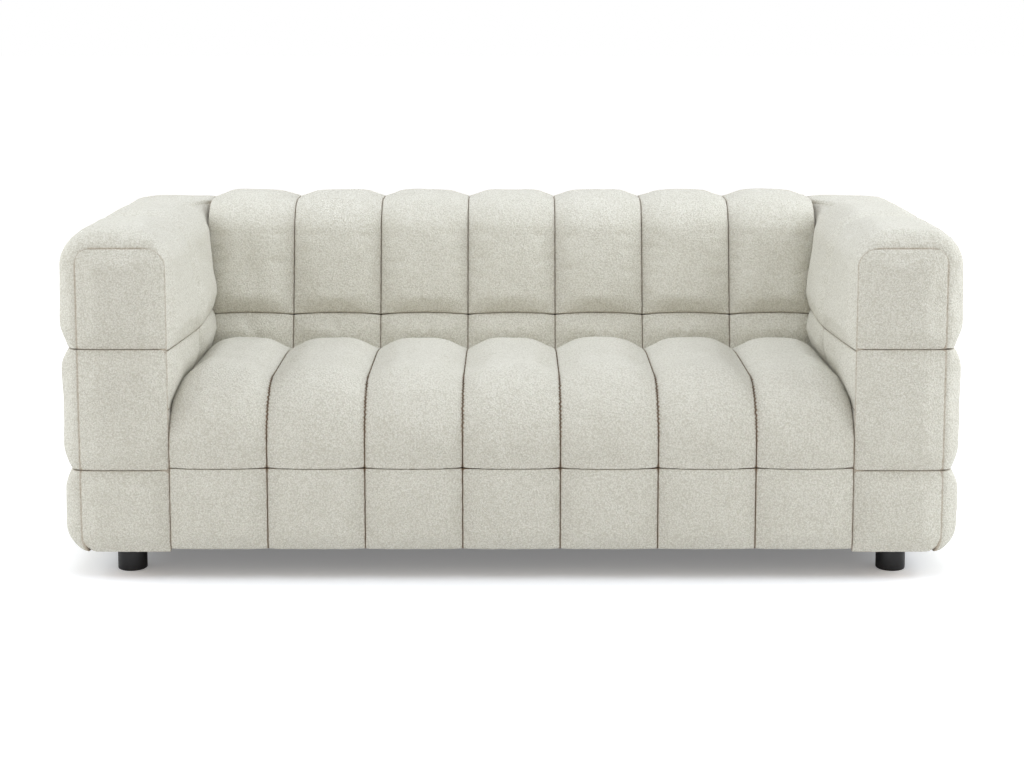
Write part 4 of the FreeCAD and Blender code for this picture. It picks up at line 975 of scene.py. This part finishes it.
def gathering(along):
    """How strongly the cloth is gathered at a distance along the channel, from 0 to 1."""
    return np.exp(-((along - gather_middle) / gather_half) ** 4)


def gather(piece, index):
    """The tight zigzag of the seat's front edge: both sides of a seam shift together."""
    mesh = piece.data
    spots = positions(mesh)
    labels = ("along", "from_a", "from_b", "cloth")
    along, from_a, from_b, cloth = (read(mesh, label) for label in labels)
    strength = gathering(along)
    for seam, distance, way in ((index - 1, from_a, 1), (index, from_b, -1)):
        if seam in (0, channel_count):
            continue
        slip = waves(900 + seam, 3, 30 * mm, 80 * mm)
        phase = 2 * pi * (along / gather_pitch + 0.25 * slip(along))
        near = np.exp(-distance / (7 * mm)) * strength
        spots[:, 0] += gather_shift * np.sin(phase) * near
        out = gather_ridge * np.sin(phase) * way * np.exp(-distance / (12 * mm)) * strength
        bent = np.clip((along - edge_start) / edge_length, 0, 1) * pi / 2
        spots[:, 1] += -np.cos(bent) * out * cloth
        spots[:, 2] += np.sin(bent) * out * cloth
    mesh.vertices.foreach_set("co", spots.ravel())


for piece, puffs, replaced in soft_pieces:
    activate(piece)
    smooth = piece.modifiers.new("smooth", "SUBSURF")
    smooth.levels = 1
    smooth.render_levels = 1
    bpy.ops.object.modifier_apply(modifier="smooth")
    pucker(piece, puffs)
    if replaced.startswith("seat_channel"):
        gather(piece, int(replaced[-1]))
    bpy.ops.object.shade_smooth()
total = sum(len(piece.data.polygons) for piece, puffs, replaced in soft_pieces)
print("soft faces", total)


# %% [markdown]
# Every finish here is a small tree of nodes, and most of them need the same few steps: take the
# object's own coordinates, grow a noise or a field of cells on them, mix two colours by it, and bump
# the surface with it. Each step is a short function, so that a finish reads as a recipe.

# %% Node helpers
scene = bpy.context.scene


def new_material(name, roughness=0.5, metallic=0.0, specular=0.5):
    """A node material with one shader, whose fixed values sit on its own sockets."""
    material = bpy.data.materials.new(name)
    material.use_nodes = True
    tree = material.node_tree
    tree.nodes.clear()
    output = tree.nodes.new("ShaderNodeOutputMaterial")
    shader = tree.nodes.new("ShaderNodeBsdfPrincipled")
    tree.links.new(shader.outputs["BSDF"], output.inputs["Surface"])
    shader.inputs["Roughness"].default_value = roughness
    shader.inputs["Metallic"].default_value = metallic
    shader.inputs["Specular IOR Level"].default_value = specular
    return material, shader


def place_in_object(tree, stretch=(1.0, 1.0, 1.0)):
    """The object's own coordinates, stretched if a grain runs one way."""
    coordinates = tree.nodes.new("ShaderNodeTexCoord")
    mapping = tree.nodes.new("ShaderNodeMapping")
    mapping.inputs["Scale"].default_value = stretch
    tree.links.new(coordinates.outputs["Object"], mapping.inputs["Vector"])
    return mapping.outputs["Vector"]


def noise(tree, vector, scale, detail=2.0, roughness=0.5):
    """Clouds of one size, with finer clouds in them as the detail rises."""
    node = tree.nodes.new("ShaderNodeTexNoise")
    node.inputs["Scale"].default_value = scale
    node.inputs["Detail"].default_value = detail
    node.inputs["Roughness"].default_value = roughness
    tree.links.new(vector, node.inputs["Vector"])
    return node


def cells(tree, vector, scale):
    """Distance from the middles of scattered cells."""
    node = tree.nodes.new("ShaderNodeTexVoronoi")
    node.inputs["Scale"].default_value = scale
    tree.links.new(vector, node.inputs["Vector"])
    return node.outputs["Distance"]


def calculate(tree, operation, first, second, third=None):
    """One sum on two or three values, each a number or a socket."""
    node = tree.nodes.new("ShaderNodeMath")
    node.operation = operation
    for socket, value in zip(node.inputs, (first, second, third)):
        if isinstance(value, (int, float)):
            socket.default_value = value
        elif value is not None:
            tree.links.new(value, socket)
    return node.outputs["Value"]


def blend(tree, share, before, after):
    """A colour between two, by a share that a texture gives."""
    node = tree.nodes.new("ShaderNodeMix")
    node.data_type = "RGBA"
    tree.links.new(share, node.inputs["Factor"])
    for socket, colour in ((node.inputs[6], before), (node.inputs[7], after)):
        if isinstance(colour, tuple):
            socket.default_value = (*colour, 1.0)
        else:
            tree.links.new(colour, socket)
    return node.outputs[2]


def limited(tree, value, low, high):
    """A value's share of the way from low to high, kept from 0 to 1."""
    node = tree.nodes.new("ShaderNodeMapRange")
    node.inputs["From Min"].default_value = low
    node.inputs["From Max"].default_value = high
    tree.links.new(value, node.inputs["Value"])
    return node.outputs["Result"]


def bump(tree, shader, height, distance, strength=1.0):
    """Raise and sink the shaded surface by a height field."""
    node = tree.nodes.new("ShaderNodeBump")
    node.inputs["Distance"].default_value = distance
    node.inputs["Strength"].default_value = strength
    tree.links.new(height, node.inputs["Height"])
    tree.links.new(node.outputs["Normal"], shader.inputs["Normal"])


# %% [markdown]
# Boucle is woven with looped yarn, so it has no shine and no threads to see: small round loops, some
# thin, some fat, with shadows between them. Cells of two sizes stand for the loops, a fine noise for
# the fuzz, and a broad one for the way the pile lies. The same pattern drives the bump and a colour
# with painted shade between the loops and painted light on them. A note on the mesh, made further
# down, paints a brown shade into the cloth along its seams.

# %% Boucle
loop_scale = 270
strand_scale = 560
fuzz_scale = 1300
nap_scale = 9
patch_scale = 60
sway_scale = 260
sway = 0.0035
# painted shade between the loops, and painted light on their tops
loop_shadow = (0.61, 0.583, 0.488)
loop_light = (0.905, 0.888, 0.80)
# the brown of the shade painted into the seams
seam_shadow_brown = (0.27, 0.16, 0.07)


def make_boucle():
    """The cover's cloth."""
    material, shader = new_material("boucle", roughness=0.95, specular=0.12)
    tree = material.node_tree
    vector = place_in_object(tree)
    swaying = noise(tree, vector, sway_scale, 2.0)
    shift = tree.nodes.new("ShaderNodeVectorMath")
    shift.operation = "MULTIPLY_ADD"
    shift.inputs[1].default_value = (sway, sway, sway)
    tree.links.new(swaying.outputs["Color"], shift.inputs[0])
    tree.links.new(vector, shift.inputs[2])
    bent = shift.outputs["Vector"]
    loops = limited(tree, cells(tree, bent, loop_scale), 0.75, 0.1)
    strands = limited(tree, cells(tree, bent, strand_scale), 0.8, 0.15)
    fuzz = noise(tree, vector, fuzz_scale, 2.0).outputs["Fac"]
    nap = noise(tree, vector, nap_scale, 3.0).outputs["Fac"]
    patches = noise(tree, vector, patch_scale, 3.0).outputs["Fac"]
    knit = calculate(tree, "MULTIPLY_ADD", strands, 0.4, calculate(tree, "MULTIPLY", loops, 0.6))
    height = calculate(tree, "MULTIPLY_ADD", fuzz, 0.3, knit)
    tone = calculate(tree, "MULTIPLY_ADD", patches, 0.14, calculate(tree, "MULTIPLY", height, 0.95))
    # random patches of tone, with painted shade between the loops and painted light on them
    pile = blend(tree, limited(tree, tone, 0.3, 1.05), loop_shadow, loop_light)
    rubbed = blend(tree, limited(tree, nap, 0.35, 0.7), (0.80, 0.79, 0.755), (1.0, 1.0, 1.0))
    shade = tree.nodes.new("ShaderNodeMix")
    shade.data_type = "RGBA"
    shade.blend_type = "MULTIPLY"
    shade.inputs["Factor"].default_value = 0.18
    tree.links.new(pile, shade.inputs[6])
    tree.links.new(rubbed, shade.inputs[7])
    # the seam_shade note blends painted brown shade into the colour along the seams
    seam = tree.nodes.new("ShaderNodeAttribute")
    seam.attribute_name = "seam_shade"
    seam_shaded = blend(tree, seam.outputs["Fac"], shade.outputs[2], seam_shadow_brown)
    tree.links.new(seam_shaded, shader.inputs["Base Color"])
    shader.inputs["Sheen Weight"].default_value = 0.22
    shader.inputs["Sheen Roughness"].default_value = 0.6
    shader.inputs["Sheen Tint"].default_value = (0.96, 0.95, 0.92, 1.0)
    bump(tree, shader, height, 0.0022, 0.9)
    return material


boucle = make_boucle()
print("boucle:", len(boucle.node_tree.nodes), "nodes")

# %% [markdown]
# The feet are moulded plastic: a satin black with a faint grain from the mould. The other pieces are
# inside or under the sofa, but anyone who turns it over or takes it apart sees them, so each gets the
# look of its stuff too.

# %% Other materials


def make_plastic():
    """Satin black, with the faint clouds that a mould leaves."""
    material, shader = new_material("foot plastic", roughness=0.42, specular=0.4)
    tree = material.node_tree
    vector = place_in_object(tree)
    cloud = noise(tree, vector, 45, 4.0).outputs["Fac"]
    tree.links.new(blend(tree, cloud, (0.014, 0.014, 0.015), (0.022, 0.022, 0.0235)),
                   shader.inputs["Base Color"])
    tree.links.new(calculate(tree, "MULTIPLY_ADD", cloud, 0.2, 0.33), shader.inputs["Roughness"])
    bump(tree, shader, noise(tree, vector, 1500, 2.0).outputs["Fac"], 0.00015, 0.5)
    return material


def make_timber(name, dark, light, grain_axis=0):
    """Sawn softwood: rings stretched along the grain, with finer pores in them."""
    material, shader = new_material(name, roughness=0.62, specular=0.3)
    tree = material.node_tree
    stretch = [9.0, 9.0, 9.0]
    stretch[grain_axis] = 0.7
    vector = place_in_object(tree, stretch)
    rings = noise(tree, vector, 3.0, 5.0, 0.6)
    pores = noise(tree, vector, 45.0, 3.0, 0.7).outputs["Fac"]
    wave = tree.nodes.new("ShaderNodeTexWave")
    wave.inputs["Scale"].default_value = 1.4
    wave.inputs["Distortion"].default_value = 7.0
    wave.inputs["Detail"].default_value = 3.0
    tree.links.new(vector, wave.inputs["Vector"])
    grain = calculate(tree, "MULTIPLY_ADD", rings.outputs["Fac"], 0.6,
                      calculate(tree, "MULTIPLY", wave.outputs["Fac"], 0.4))
    colour = blend(tree, limited(tree, grain, 0.25, 0.8), dark, light)
    tree.links.new(colour, shader.inputs["Base Color"])
    tree.links.new(calculate(tree, "MULTIPLY_ADD", pores, 0.25, 0.5), shader.inputs["Roughness"])
    bump(tree, shader, pores, 0.0006, 0.5)
    return material


def make_metal(name, colour, brushed, spot_scale):
    """Steel with a spotted plating, rougher where it has dulled."""
    material, shader = new_material(name, roughness=0.35, metallic=1.0)
    tree = material.node_tree
    vector = place_in_object(tree)
    spots = noise(tree, vector, spot_scale, 4.0, 0.6).outputs["Fac"]
    lighter = tuple(min(1.0, part * 1.25) for part in colour)
    tree.links.new(blend(tree, spots, colour, lighter), shader.inputs["Base Color"])
    tree.links.new(calculate(tree, "MULTIPLY_ADD", spots, 0.25, brushed), shader.inputs["Roughness"])
    bump(tree, shader, noise(tree, vector, 900, 2.0).outputs["Fac"], 0.0001, 0.4)
    return material


def make_soft(name, dark, light, scale, depth, roughness=0.95):
    """Foam, felt and nonwoven cloth: open cells or matted fibres, with no shine."""
    material, shader = new_material(name, roughness=roughness, specular=0.1)
    tree = material.node_tree
    vector = place_in_object(tree)
    open_cells = cells(tree, vector, scale)
    fibres = noise(tree, vector, scale * 0.6, 5.0, 0.7).outputs["Fac"]
    mixed = calculate(tree, "MULTIPLY_ADD", open_cells, 0.5, calculate(tree, "MULTIPLY", fibres, 0.6))
    tree.links.new(blend(tree, limited(tree, mixed, 0.2, 0.8), dark, light), shader.inputs["Base Color"])
    bump(tree, shader, mixed, depth, 0.8)
    return material


def make_webbing():
    """Woven elastic tape: ribs across the strap and threads along it."""
    material, shader = new_material("webbing", roughness=0.9, specular=0.15)
    tree = material.node_tree
    vector = place_in_object(tree)
    ribs = []
    for direction in ("X", "Z"):
        wave = tree.nodes.new("ShaderNodeTexWave")
        wave.bands_direction = direction
        wave.inputs["Scale"].default_value = 150
        wave.inputs["Distortion"].default_value = 0.6
        tree.links.new(vector, wave.inputs["Vector"])
        ribs.append(wave.outputs["Fac"])
    weave = calculate(tree, "MULTIPLY", ribs[0], ribs[1])
    colour = blend(tree, weave, (0.035, 0.035, 0.037), (0.16, 0.16, 0.165))
    tree.links.new(colour, shader.inputs["Base Color"])
    bump(tree, shader, weave, 0.0006, 0.8)
    return material


finishes = {
    "boucle": boucle,
    "foot_plastic": make_plastic(),
    "timber": make_timber("timber", (0.36, 0.22, 0.105), (0.62, 0.44, 0.255)),
    "plywood": make_timber("plywood", (0.44, 0.30, 0.165), (0.66, 0.50, 0.32), 2),
    "hardboard": make_soft("hardboard", (0.10, 0.058, 0.030), (0.17, 0.105, 0.06), 700, 0.0003, 0.6),
    "spring_steel": make_metal("spring steel", (0.17, 0.175, 0.18), 0.25, 60),
    "zinc_steel": make_metal("zinc steel", (0.58, 0.595, 0.60), 0.22, 25),
    "foam": make_soft("foam", (0.64, 0.60, 0.42), (0.88, 0.84, 0.66), 500, 0.0008),
    "felt": make_soft("felt", (0.28, 0.27, 0.26), (0.52, 0.51, 0.49), 350, 0.0009),
    "webbing": make_webbing(),
    "dust_cover": make_soft("dust cover", (0.010, 0.010, 0.011), (0.030, 0.030, 0.032), 420, 0.0005),
}
print(len(finishes), "finishes:", ", ".join(finishes))

# %% [markdown]
# A seam shows as a thin dark line, because the loops part there and the thread pulls the cloth into
# shade. That shade is painted: each point near a seam gets a share of it, and the material paints it
# brown. The walls hidden in the gaps get painted shade too. On the seat the painted lines between the
# channels are the darkest, and wider at every tuck of the gathers and where they cross the front
# seam, while the front seam itself hardly shows.

# %% Painted shade along the seams
seam_line = 1.3 * mm
crossing_size = 7 * mm
seam_painted_shade = 0.42
seat_seam_painted_shade = 0.85
# painted shade on the walls hidden in the gaps between puffs
wall_shade = 0.5
faint_shade = 0.1
for piece, puffs, replaced in soft_pieces:
    mesh = piece.data
    gaps = [read(mesh, label) for label in ("along", "from_a", "from_b", "to_end")]
    nearest = np.minimum.reduce(gaps)
    deepest = seam_painted_shade
    width = seam_line
    walls = wall_shade
    if replaced.startswith("seat"):
        to_side = np.minimum(gaps[1], gaps[2])
        to_cross = gaps[0] if replaced.startswith("seat_channel") else gaps[3]
        # painted shade grows deeper and wider where a side seam crosses the front seam
        crossing = np.exp(-(to_cross / crossing_size) ** 2)
        nearest = to_side
        deepest = seat_seam_painted_shade + (1 - seat_seam_painted_shade) * crossing
        width = seam_line * (1 + 1.3 * crossing)
        walls = np.where(to_side < 3 * mm, wall_shade, faint_shade)
        if replaced.startswith("seat_channel"):
            pulled = gathering(gaps[0])
            # painted shade widens at each tuck of the gathers
            tuck_crease = 0.5 + 0.5 * np.sin(2 * pi * gaps[0] / gather_pitch)
            width = width * (1 + pulled * (0.35 + 1.1 * tuck_crease))
            deepest = deepest + (1 - deepest) * pulled
    shade = deepest * np.exp(-(nearest / width) ** 2)
    if replaced.startswith("seat"):
        shade = np.maximum(shade, faint_shade * np.exp(-(to_cross / seam_line) ** 2))
    shade = np.where(read(mesh, "cloth") < 0.5, walls, shade)
    attribute = mesh.attributes.new("seam_shade", "FLOAT", "POINT")
    attribute.data.foreach_set("value", shade.astype(np.float32))
    for label in ("along", "from_a", "from_b", "to_end", "cloth", "puff"):
        mesh.attributes.remove(mesh.attributes[label])
    piece.vertex_groups.clear()
print("seams shaded on", len(soft_pieces), "pieces")

# %% [markdown]
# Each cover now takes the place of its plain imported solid.

# %% Dress the soft pieces
for piece, puffs, replaced in soft_pieces:
    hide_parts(replaced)
    piece.name = f"{replaced}_cover"
    piece.data.materials.append(boucle)
    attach(piece, body_name)
print("dressed", len(soft_pieces), "soft pieces in boucle")

# %% [markdown]
# A foot is one round moulding: a short column with a softened rim, and a shallow hollow underneath,
# where a glide sits. A cylinder is added at its real size, its lower rim is bevelled, and its
# underside is inset and pushed in. One is modelled, and the other three are copies.

# %% Feet
foot_nodes = [name for name in nodes if name.startswith("foot_") and name != "foot_studs"
              and name != "foot_tee_nuts"]
first_low, first_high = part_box(foot_nodes[0])
foot_radius = (first_high.x - first_low.x) / 2
foot_height = first_high.z - first_low.z
rim_bevel = 2.5 * mm
glide_inset = 7 * mm
glide_hollow = 2 * mm
glide_rim = 3 * mm
glide_rise = 0.7 * glide_hollow


def select_level(mesh, height):
    """Select the faces that lie at a height."""
    for face in mesh.polygons:
        face.select = abs(face.center.z - height) < 1e-5 and abs(face.normal.z) > 0.99


bpy.ops.object.select_all(action="DESELECT")
bpy.ops.mesh.primitive_cylinder_add(vertices=96, radius=foot_radius, depth=foot_height,
                                    location=(0, 0, foot_height / 2))
foot = bpy.context.active_object
bpy.ops.object.transform_apply(location=True, rotation=True, scale=True)
bpy.ops.object.mode_set(mode="EDIT")
bpy.ops.mesh.select_all(action="DESELECT")
bpy.ops.mesh.select_mode(type="FACE")
bpy.ops.object.mode_set(mode="OBJECT")
select_level(foot.data, 0.0)
bpy.ops.object.mode_set(mode="EDIT")
bpy.ops.mesh.inset(thickness=glide_inset)
bpy.ops.mesh.extrude_region_move(TRANSFORM_OT_translate={"value": (0, 0, glide_hollow)})
bpy.ops.mesh.inset(thickness=glide_rim)
bpy.ops.mesh.extrude_region_move(TRANSFORM_OT_translate={"value": (0, 0, -glide_rise)})
bpy.ops.mesh.select_all(action="DESELECT")
bpy.ops.mesh.select_mode(type="EDGE")
bpy.ops.object.mode_set(mode="OBJECT")
for edge in foot.data.edges:
    ends = [foot.data.vertices[index].co for index in edge.vertices]
    rim = all(abs(Vector((end.x, end.y)).length - foot_radius) < 1e-5 for end in ends)
    edge.select = rim and abs(ends[0].z - ends[1].z) < 1e-6
bpy.ops.object.mode_set(mode="EDIT")
bpy.ops.mesh.bevel(offset=rim_bevel, segments=4, profile=0.5)
bpy.ops.mesh.select_all(action="SELECT")
bpy.ops.mesh.normals_make_consistent(inside=False)
bpy.ops.object.mode_set(mode="OBJECT")
bpy.ops.object.shade_smooth_by_angle(angle=radians(35))
feet = []
for number, name in enumerate(foot_nodes):
    piece = foot
    if number:
        piece = foot.copy()
        piece.data = foot_shape.copy()
        bpy.context.scene.collection.objects.link(piece)
    else:
        foot_shape = foot.data.copy()
    low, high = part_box(name)
    piece.name = f"{name}_moulding"
    piece.data.transform(Matrix.Translation(((low.x + high.x) / 2, (low.y + high.y) / 2, low.z)))
    piece.data.materials.append(finishes["foot_plastic"])
    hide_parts(name)
    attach(piece, body_name)
    feet.append(piece)
bpy.data.meshes.remove(foot_shape)
print(len(feet), "feet,", round(foot_radius * 2000), "mm across")

# %% [markdown]
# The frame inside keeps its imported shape, and each of its pieces gets the look of its own stuff.

# %% Finish the carried pieces
slots = {part["node"]: part["material_slot"] for part in frame["record"]["subparts"]}
covered = {replaced for piece, puffs, replaced in soft_pieces} | set(foot_nodes)
for name, node in nodes.items():
    if name not in covered:
        node.data.materials.clear()
        node.data.materials.append(finishes[slots[name]])
print(len(nodes) - len(covered), "carried pieces finished")

# %% [markdown]
# The photograph's background is plain white. A pale floor catches the sofa's soft shadow. Where the
# camera looks at it, it also glows a little, more with distance, so that it melts into the white
# behind it. That glow lights nothing.

# %% Floor
floor_size = 60.0
floor_grey = 0.93
near_glow = 0.2
far_glow = 0.5
glow_start = 1.0
glow_end = 4.5
bpy.ops.object.select_all(action="DESELECT")
bpy.ops.mesh.primitive_plane_add(size=floor_size, location=(0, 0, -0.5 * mm))
floor = bpy.context.active_object
floor.name = "floor"
floor_material, floor_shader = new_material("floor", roughness=0.9, specular=0.0)
floor_shader.inputs["Base Color"].default_value = (floor_grey, floor_grey, floor_grey, 1.0)
floor_tree = floor_material.node_tree
floor_path = floor_tree.nodes.new("ShaderNodeLightPath")
floor_place = floor_tree.nodes.new("ShaderNodeTexCoord")
floor_reach = floor_tree.nodes.new("ShaderNodeVectorMath")
floor_reach.operation = "LENGTH"
floor_tree.links.new(floor_place.outputs["Object"], floor_reach.inputs[0])
floor_far = limited(floor_tree, floor_reach.outputs["Value"], glow_start, glow_end)
floor_lift = calculate(floor_tree, "MULTIPLY_ADD", floor_far, far_glow - near_glow, near_glow)
floor_glow = calculate(floor_tree, "MULTIPLY", floor_path.outputs["Is Camera Ray"], floor_lift)
floor_shader.inputs["Emission Color"].default_value = (1.0, 1.0, 1.0, 1.0)
floor_tree.links.new(floor_glow, floor_shader.inputs["Emission Strength"])
floor.data.materials.append(floor_material)
print("floor", floor_size, "m across")

# %% [markdown]
# The world gives an even, slightly warm fill, as the walls of a room do. The camera, mirrors and
# glass see plain white in its place.

# %% World
world_fill = 0.60
fill_colour = (1.0, 0.965, 0.92)
world = bpy.data.worlds.new("studio")
scene.world = world
world.use_nodes = True
world_tree = world.node_tree
world_tree.nodes.clear()
world_output = world_tree.nodes.new("ShaderNodeOutputWorld")
world_light = world_tree.nodes.new("ShaderNodeBackground")
world_path = world_tree.nodes.new("ShaderNodeLightPath")
seen = calculate(world_tree, "MAXIMUM", world_path.outputs["Is Camera Ray"],
                 world_path.outputs["Is Glossy Ray"])
seen = calculate(world_tree, "MAXIMUM", seen, world_path.outputs["Is Transmission Ray"])
world_strength = calculate(world_tree, "MULTIPLY_ADD", seen, 1.0 - world_fill, world_fill)
world_colour = blend(world_tree, seen, fill_colour, (1.0, 1.0, 1.0))
world_tree.links.new(world_colour, world_light.inputs["Color"])
world_tree.links.new(world_strength, world_light.inputs["Strength"])
world_tree.links.new(world_light.outputs["Background"], world_output.inputs["Surface"])
print("fill light", world_fill)

# %% [markdown]
# One large cool lamp overhead makes the tops of the channels brighter than their fronts. Two lamps at
# the sides light the inner faces of the arms across the seat, and a weak warm one fills the front.

# %% Lamps


def add_lamp(name, place, target, size, power, colour):
    """A square soft box at a place, turned to its target."""
    data = bpy.data.lights.new(name, "AREA")
    data.shape = "SQUARE"
    data.size = size
    data.energy = power
    data.color = colour
    lamp = bpy.data.objects.new(name, data)
    scene.collection.objects.link(lamp)
    lamp.location = place
    lamp.rotation_euler = (Vector(target) - Vector(place)).to_track_quat("-Z", "Y").to_euler()
    return lamp


lamps = [
    add_lamp("overhead", (0.0, -0.6, 3.6), (0.0, 0.0, 0.4), 3.4, 56, (0.75, 0.84, 1.0)),
    add_lamp("left", (-3.6, -0.3, 2.2), (0.7, 0.0, 0.5), 2.2, 68, (0.87, 0.93, 1.0)),
    add_lamp("right", (3.6, -0.3, 2.2), (-0.7, 0.0, 0.5), 2.2, 92, (0.87, 0.93, 1.0)),
    add_lamp("front", (-1.2, -5.0, 2.4), (0.0, 0.0, 0.4), 3.0, 10, (1.0, 0.965, 0.93)),
]
print("lamps:", ", ".join(f"{lamp.name} {lamp.data.energy:g} W" for lamp in lamps))

# %% [markdown]
# The photograph was taken from a little above the back, on the middle line. Its upright lines hardly
# converge, so the lens is shifted a little instead of tilting the whole camera.

# %% Camera
camera_place = (0.0011, -4.5278, 1.2779)
camera_tilt = 7.18
sensor_width = 36
focal_length = 68.98
lens_shift = -0.15
camera_data = bpy.data.cameras.new("camera")
camera = bpy.data.objects.new("camera", camera_data)
scene.collection.objects.link(camera)
camera.location = camera_place
camera.rotation_euler = (radians(90 - camera_tilt), 0.0, 0.0)
camera_data.sensor_width = sensor_width
camera_data.lens = focal_length
camera_data.shift_y = lens_shift
scene.camera = camera
scene.view_settings.view_transform = "Standard"
print("camera", camera_tilt, "degrees down, lens", focal_length, "mm")
